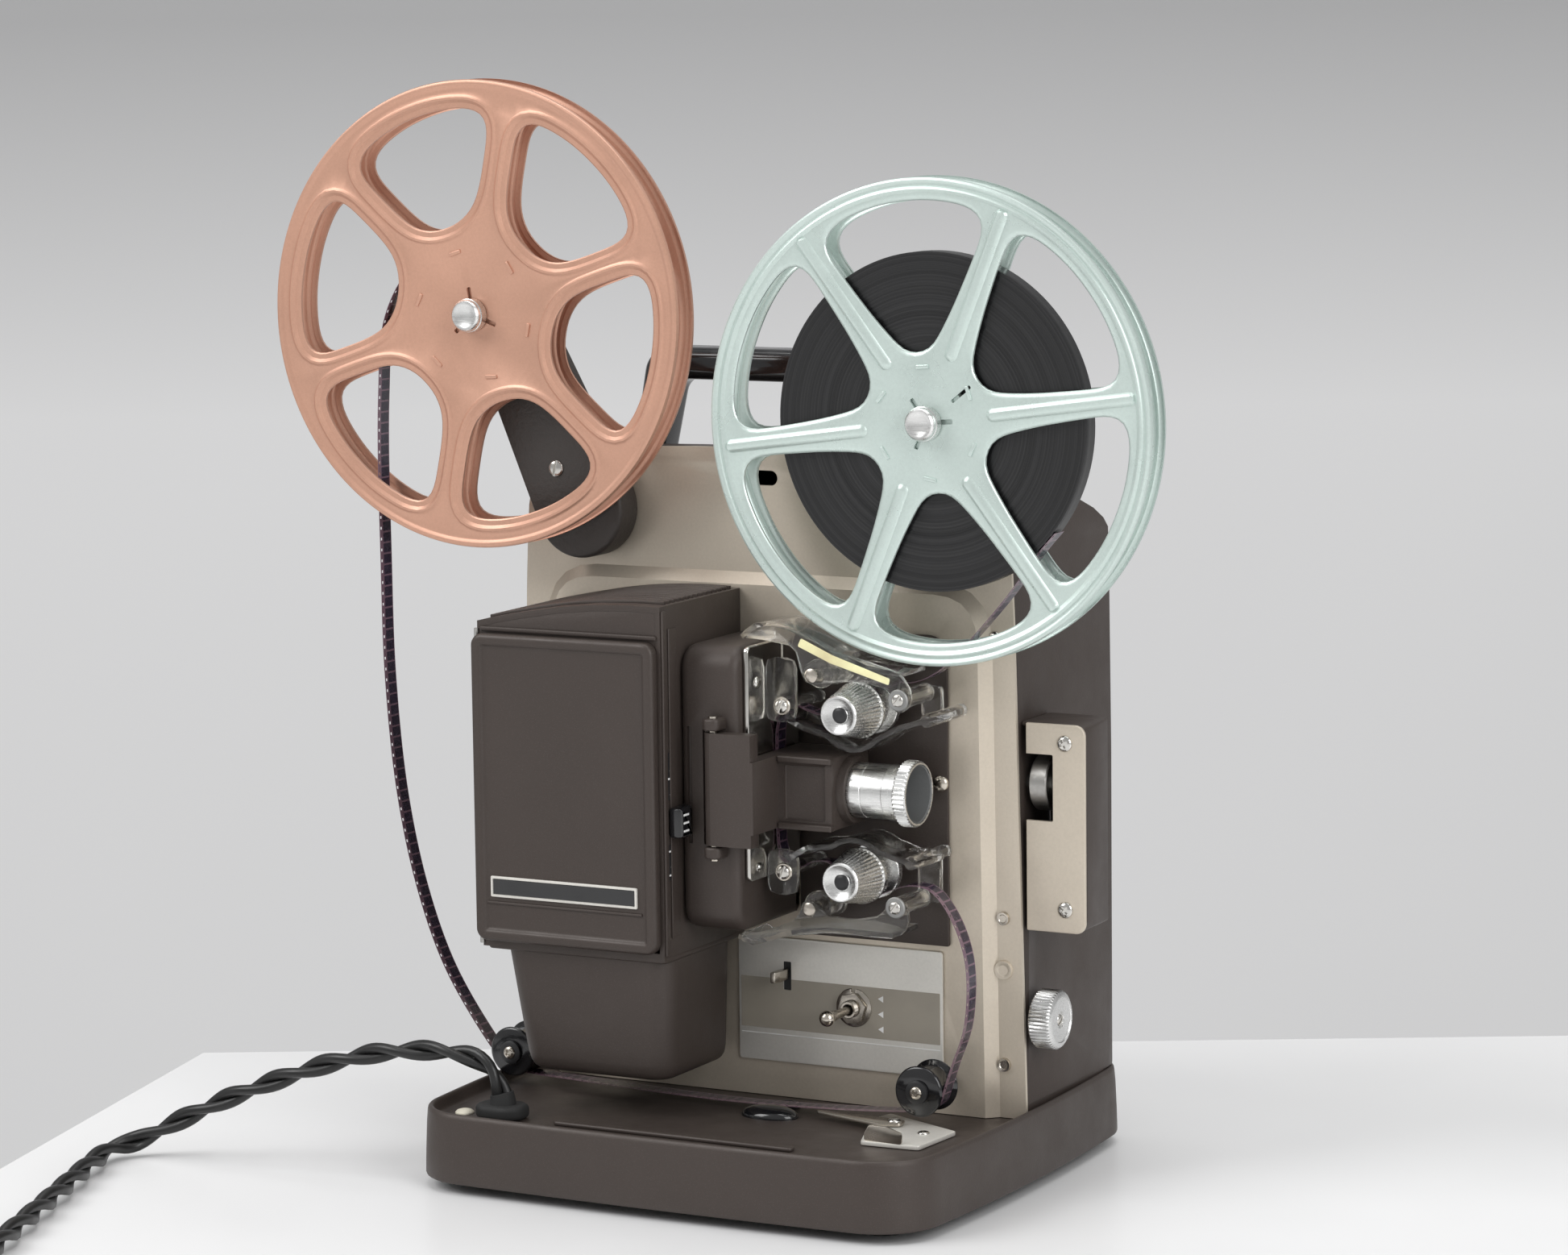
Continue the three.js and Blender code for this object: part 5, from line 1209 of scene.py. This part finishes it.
# ------------------------------------------------------------------ sprockets, guides and rollers
def make_film_drive():
    for name, at in (("upper", UPPER), ("lower", LOWER)):
        profile = [(0, -42.3), (2.9, -42.3), (3.2, -42.0), (3.9, -42.1), (6.4, -43.75), (7.0, -43.75),
                (7.4, -43.3), (7.9, -40.5), (10.0, -28.6), (10.35, -28.2), (10.6, -27.8), (10.6, -26.4),
                (10.2, -26.0), (8.6, -25.9), (8.6, -16.4), (10.2, -16.4), (10.5, -16.1), (10.5, -13.4),
                (10.2, -13), (3, -13), (3, 9.8), (0, 9.8)]
        place(lathe(name + "_sprocket_knob", "y", *at, profile, 240, smooth=30, knurl=({7, 8}, 0.16, 40)),
                name + "_sprocket", "bright_aluminium", "aluminium", name + "_sprocket")
        place(lathe(name + "_sprocket_hub", "y", *at, [(0, -43.2), (1.6, -43.2), (2.6, -42.9), (3.0, -42.4),
                (3.0, -42.0), (0, -42.0)], 40), name + "_sprocket", "gloss_black", "satin_black")
        tooth = [(8.4, -0.62), (9.3, -0.45), (9.75, 0), (9.3, 0.45), (8.4, 0.62)]
        teeth = [slab("tooth", "y", turned(at, TAU * k / 12 + 0.1, tooth), -24.3, -23.4, 0.1, 1)
                for k in range(12)]
        place(merge(name + "_sprocket_teeth", teeth), name + "_sprocket", "bare_steel", "nickel")
        lever_at = {"upper": (52, 194.5), "lower": (50, 107)}[name]
        roller = lathe(name + "_roller_body", "y", *lever_at, [(2.15, -29.5), (5.0, -29.5), (5.6, -29.0),
                (5.6, -27.4), (4.7, -26.8), (4.7, -17.6), (5.6, -17.0), (5.6, -15.4), (5.0, -15),
                (2.15, -15)], 56, closed=True)
        place(roller, name + "_lever_roller", "clear_plastic", "clear", name + "_lever_roller")
        soften(name + "_guide_lever", name + "_guide_lever", "clear_plastic", "clear", 0.35, 2, 40, 45)
        soften(name + "_guide", "chassis", "clear_plastic", "clear", 0.35, 2, 40, 45)
        place(lathe(name + "_roller_pin", "y", *lever_at, [(0, -36.9), (2.0, -36.9), (2.6, -36.5),
                (2.7, -36.0), (0, -36.0)], 32), name + "_guide_lever", "chrome_plate", "nickel")
    for name, x, z, y in (("upper_guide_screw", 38, 182, -33), ("lower_guide_screw", 38, 119.6, -33)):
        place(lathe(name + "_washer", "y", x, z, [(0, y - 0.5), (3.2, y - 0.5), (3.5, y - 0.2),
                (3.5, y + 0.02), (0, y + 0.02)], 36), "chassis", "bare_steel", "nickel")
        screw(name, "chassis", (x, y - 0.45, z), (0, -1, 0), 2.7, "slot", 1.2, 1.4)
    for name, x, z in (("upper_pivot", 88, 187.5), ("lower_pivot", 86, 110.5)):
        place(lathe(name + "_washer", "y", x, z, [(0, -37.1), (3.6, -37.1), (4.0, -36.7), (4.0, -36.15),
                (0, -36.15)], 40), "chassis", "bare_steel", "zinc")
        screw(name + "_screw", "chassis", (x, -37.05, z), (0, -1, 0), 2.4, "slot", 0.9, 1.0)
    strip = slab("guide_strip", "y", rounded([(46.5, 205.2), (60, 199.6), (84, 192.8), (84.5, 195.2),
            (61, 202.6), (48, 208.2)], 0.6), -36.35, -36.05, 0.1, 1)
    place(strip, "upper_guide_lever", "label_aluminium", "sticker")

    for side, (x, z), end in (("right", RIGHT_ROLLER, -1.0), ("left", LEFT_ROLLER, 1.6)):
        profile = [(2.8, -28.5), (8.7, -28.5), (9.4, -28.1), (9.6, -27.5), (9.3, -27.0), (7.9, -26.4),
                (7.5, -25.8), (7.5, -16.4), (7.9, -15.7), (9.3, -15.0), (9.6, -14.5), (9.4, -13.9),
                (8.7, -13.5), (2.8, -13.5)]
        place(lathe(side + "_roller_body", "y", x, z, profile, 72, closed=True, smooth=45),
                "film_roller_" + side, "gloss_black", "gloss_black", "film_roller_" + side)
        post = [(0, -30.3), (3.4, -30.3), (4.4, -29.9), (4.5, -28.8), (2.5, -28.8), (2.5, end), (0, end)]
        place(lathe(side + "_roller_post_body", "y", x, z, post, 40), "chassis", "gloss_black", "satin_black",
              "roller_post_" + side)
        screw(side + "_roller_screw", "chassis", (x, -30.25, z), (0, -1, 0), 2.5, "cross", 0.6, 1.1, "nickel")


make_film_drive()


# ------------------------------------------------------------------ label, switches, screws and knobs
def make_controls():
    plate = slab("label_plate_body", "y", box_outline(1.4, 87.9, 39.6, 87.6, 1.2), -2.0, -1.0, 0.2, 2)
    cut(plate, slab("slot", "y", box_outline(20.6, 24.0, 67.6, 78.6, 0.4), -5, 0, 0.05, 1))
    place(plate, "chassis", "label_aluminium", "label", "label_plate")
    band = slab("label_band", "y", box_outline(2.4, 86.9, 52.2, 71.8, 0.2), -2.12, -1.95, 0.03, 1)
    cut(band, slab("slot", "y", box_outline(20.6, 24.0, 67.6, 78.6, 0.4), -5, 0, 0.05, 1))
    place(band, "chassis", "label_aluminium", "grey_print")
    arrows = [slab("arrow", "y", [(60.9, z), (63.1, z - 1.25), (63.1, z + 1.25)], -2.22, -2.05, 0.03, 1)
              for z in (67.6, 61.7, 55.9)]
    arrows.append(slab("rule", "y", box_outline(2.4, 86.9, 49.9, 50.2, 0.05), -2.1, -1.95, 0.02, 1))
    place(merge("label_arrows", arrows), "chassis", "label_aluminium", "white")
    # Painted shade: a thin black sheet inside the label plate's slot stands in for the shade deep in the slot.
    place(slab("framer_slot_shade", "y", box_outline(20.2, 24.4, 67.2, 79, 0.3), -1.5, -1.05, 0.02, 1), "chassis",
            "gloss_black", "satin_black")
    frame_lever = slab("framer_lever_body", "z", rounded([(21.4, -2.4), (23.2, -2.4), (23.2, -9.6),
            (22.2, -12), (20.2, -12), (20.2, -9)], 0.5), 71.9, 76.1, 0.35, 2)
    place(frame_lever, "framer_lever", "chrome_plate", "nickel", "framer_lever")

    x, z = TOGGLE
    washer = lathe("toggle_washer", "y", x, z, [(3.2, -2.75), (7.1, -2.75), (7.4, -2.5), (7.4, -2.15),
            (3.2, -2.15)], 48, closed=True)
    cut(washer, slab("notch", "y", box_outline(x - 0.9, x + 0.9, z + 5.9, z + 9, 0.1), -5, 0, 0.05, 1))
    place(washer, "chassis", "chrome_plate", "nickel")
    hexagon = [(x + 6.3 * math.cos(math.radians(60 * k + 12)), z + 6.3 * math.sin(math.radians(60 * k + 12)))
            for k in range(6)]
    nut = slab("toggle_nut", "y", rounded(hexagon, 1.2, 4), -5.0, -2.75, 0.35, 2, 30)
    cut(nut, lathe("hole", "y", x, z, [(3.2, -9), (3.2, 0)], 40))
    place(nut, "chassis", "chrome_plate", "nickel")
    thread = [(2.3, -7.4)]
    for k in range(8):
        y = -7.4 + 0.6 * k
        thread += [(3.05, y), (3.4, y + 0.3)]
    thread += [(3.1, -2.3), (2.3, -2.3)]
    place(lathe("toggle_bush", "y", x, z, thread, 48, closed=True, smooth=25), "chassis", "chrome_plate",
            "nickel", "toggle_body")
    lever = [(0, -27), (1.2, -26.8), (2.3, -26.1), (3.0, -25.0), (3.15, -23.9), (2.8, -22.6), (2.2, -20.6),
            (1.8, -16), (1.5, -9), (1.4, -3), (0, -2.9)]
    bat = lathe("toggle_bat", "y", 0, 0, lever, 48, smooth=60)
    bat.data.transform(Matrix.Translation(Vector((x, 0, z)) * MM))
    place(bat, "toggle_lever", "chrome_plate", "nickel", "toggle_lever")

    for k, (px, pz, r, style) in enumerate(((108.1, 206.5, 2.6, "cross"), (111, 101.5, 2.5, "rivet"),
            (111, 82, 3.6, "paint"), (111, 46, 2.6, "rivet"))):
        if style == "cross":
            screw("panel_screw_%d" % k, "chassis", (px, 3.3, pz), (0, -1, 0), r, "cross", 0.3)
            continue
        cup = lathe("panel_rivet_%d" % k, "y", px, pz, [(0, 2.4), (r * 0.55, 2.4), (r * 0.66, 2.1),
                (r * 0.95, 2.0), (r, 2.4), (r + 0.1, 3.4), (0, 3.4)], 40)
        place(cup, "chassis", "bare_steel", "champagne" if style == "paint" else "nickel")
    place(lathe("plate_rivet", "y", 88, 151.6, [(0, -3.9), (1.4, -3.8), (2.5, -3.3), (3.1, -2.6), (3.2, -2.1),
            (0, -2.1)], 40), "chassis", "bare_steel", "nickel")

    rows = [(4.3, 119.5), (10.2, 119.5), (10.6, 119.9), (10.6, 126.0), (10.2, 126.5), (9.0, 126.5),
            (8.6, 126.1), (4.3, 126.1)]
    place(lathe("inching_wheel_body", "x", *SHAFT_AXIS, rows, 96, closed=True, smooth=35), "main_shaft",
            "bare_steel", "steel", "inching_wheel")
    rows = [(0, 99), (6.3, 99), (6.5, 99.4), (6.5, 107.6), (6.3, 108), (3.5, 108), (3.5, 121.5),
            (10.5, 121.5), (10.9, 122.1), (10.9, 129.0), (10.5, 129.8), (9.6, 130.4), (8.6, 130.5),
            (8.3, 130.1), (3.2, 130.1), (2.9, 129.4), (0, 129.4)]
    place(lathe("tilt_knob_body", "x", *TILT_AXIS, rows, 288, smooth=30, knurl=({8, 9}, 0.3, 48)),
            "tilt_knob", "bright_aluminium", "aluminium", "tilt_knob")
    screw("tilt_knob_screw", "tilt_knob", (129.4, *TILT_AXIS), (1, 0, 0), 2.3, "slot", 0.7, 0.9)

    plate = slab("cutter_plate", "z", rounded([(81.6, -58), (104.7, -56.7), (106.8, -29.7), (72, -14.4),
            (69, -24)], 1.6, 4), 25.7, 27.4, 0.4, 2)
    place(plate, "chassis", "bright_aluminium", "label", "film_cutter")
    blade = slab("cutter_blade_body", "z", rounded([(48, -28.5), (78, -37), (86, -34), (85, -28), (78, -27),
            (48, -26.3)], 1.5, 5), 27.8, 29.0, 0.3, 2)
    place(blade, "cutter_blade", "bare_steel", "nickel", "cutter_blade")
    screw("cutter_pivot", "chassis", (82, -31, 28.9), (0, 0, 1), 2.6, "cross", 0.5, 1.2)
    screw("cutter_screw_a", "chassis", (97.5, -38, 27.35), (0, 0, 1), 2.3, "cross", 0.2, 1.0)
    screw("cutter_screw_b", "chassis", (89, -50.5, 27.35), (0, 0, 1), 2.3, "cross", 0.9, 1.0)
    place(slab("cutter_guard", "y", rounded([(82.5, 27.2), (98, 27.2), (98, 31.5), (92, 33.4), (84.5, 33.4),
            (82.5, 30)], 1.2), -57.2, -56.2, 0.35, 2), "chassis", "bare_steel", "nickel")

    louvres = [slab("louvre", "x", rounded([(97.2, z - 2.6), (99.3, z - 1.9), (99.5, z + 0.6),
            (97.2, z + 1.4)], 0.7, 4), -48, 70, 1.0, 3) for z in range(96, 185, 11)]
    place(merge("rear_louvres", louvres), "chassis", "brown_paint", "brown")


make_controls()


# ------------------------------------------------------------------ drive inside the housing
def make_inside():
    soften("motor_housing", "chassis", "bare_steel", "zinc", 0.6, 2, 35, 35)
    soften("motor_rotor", "motor_rotor", "bare_steel", "copper_wire", 0.5, 2, 35, 35)
    soften("drive_belt", "chassis", "black_rubber", "rubber", 0.4, 2, 40, 45)
    soften("shutter_disc", "main_shaft", "bare_steel", "steel", 0.3, 1, 40, 35)
    soften("tilt_foot", "tilt_foot", "bare_steel", "zinc", 0.5, 2, 40, 35)
    rows = [(0, 2), (3.6, 2), (4, 2.4), (4, 49), (12.4, 49), (13, 49.6), (13, 50.2), (12.5, 50.6),
            (12.5, 55.4), (13, 55.8), (13, 56.4), (12.4, 57), (4, 57), (4, 131), (3.6, 131.5), (0, 131.5)]
    place(lathe("main_shaft_body", "x", *SHAFT_AXIS, rows, 64), "main_shaft", "bare_steel", "steel",
            "main_shaft")


make_inside()


# ------------------------------------------------------------------ studio
TABLE_BACK = 0.195      # metres ahead of the origin, seen from the camera


def make_studio():
    """Table, wall, soft light and plain white surroundings."""
    ahead = Vector((CAMERA_LOOKS.x, CAMERA_LOOKS.y, 0)).normalized()
    across = Vector((ahead.y, -ahead.x, 0))

    def spot(u, v, z):
        p = across * u + ahead * v
        return (p.x / MM, p.y / MM, z / MM)
    # The left edge is where the photo has it; nearer than the photo shows, the table is wide enough for the coil.
    corners = [(-6, -4), (6, -4), (6, TABLE_BACK), (-0.229, TABLE_BACK), (-0.287, -0.016), (-6, -0.016)]
    table = new_object("table", [spot(u, v, 0) for u, v in corners], [(0, 1, 2, 3, 4, 5)])
    s = Shader("table_top", 0.22, IOR=1.45)
    s.set("Base Color", s.mix(s.ramp(s.noise(3, 3), 0.3, 0.7), (0.84, 0.84, 0.84), (0.81, 0.81, 0.815)))
    s.set("Roughness", s.ramp(s.noise(14, 4), 0.3, 0.7, 0.28, 0.36))
    table.data.materials.append(s.material)
    wall = new_object("backdrop", [spot(-9, 3.4, -4), spot(9, 3.4, -4), spot(9, 3.4, 6), spot(-9, 3.4, 6)],
            [(0, 1, 2, 3)])
    w = Shader("backdrop_paper", 0.9)
    # Painted shade: the backdrop runs from pale grey at table height to darker grey higher up, standing in for
    # light falling off.
    shade_down = w.ramp(w.axis(2), -0.02, 0.40)
    plain = w.mix(shade_down, (0.92, 0.92, 0.925), (0.53, 0.53, 0.535))
    w.set("Base Color", w.mix(w.ramp(w.noise(1.2, 2), 0.3, 0.7, 0, 0.06), plain, (0.54, 0.54, 0.55)))
    wall.data.materials.append(w.material)

    world = bpy.data.worlds.new("studio")
    scene.world = world
    scene.view_settings.view_transform = "Standard"
    world.use_nodes = True
    world.node_tree.nodes["Background"].inputs["Color"].default_value = (1, 1, 1, 1)
    world.node_tree.nodes["Background"].inputs["Strength"].default_value = 0.5

    def panel(name, at, to, size, power):
        data = bpy.data.lights.new(name, "AREA")
        data.shape = "RECTANGLE"
        data.size, data.size_y = size
        data.energy = power
        lamp = bpy.data.objects.new(name, data)
        lamp.location = at
        lamp.rotation_euler = (Vector(to) - Vector(at)).to_track_quat("-Z", "Y").to_euler()
        scene.collection.objects.link(lamp)
    panel("key", (-1.5, -1.5, 1.9), (0, 0, 0.2), (1.6, 1.6), 38)
    panel("fill", (1.9, -0.9, 1.1), (0, 0, 0.2), (1.2, 1.4), 20)
    panel("top", (0.1, 0.3, 2.3), (0, 0, 0), (2.2, 1.6), 26)


make_studio()
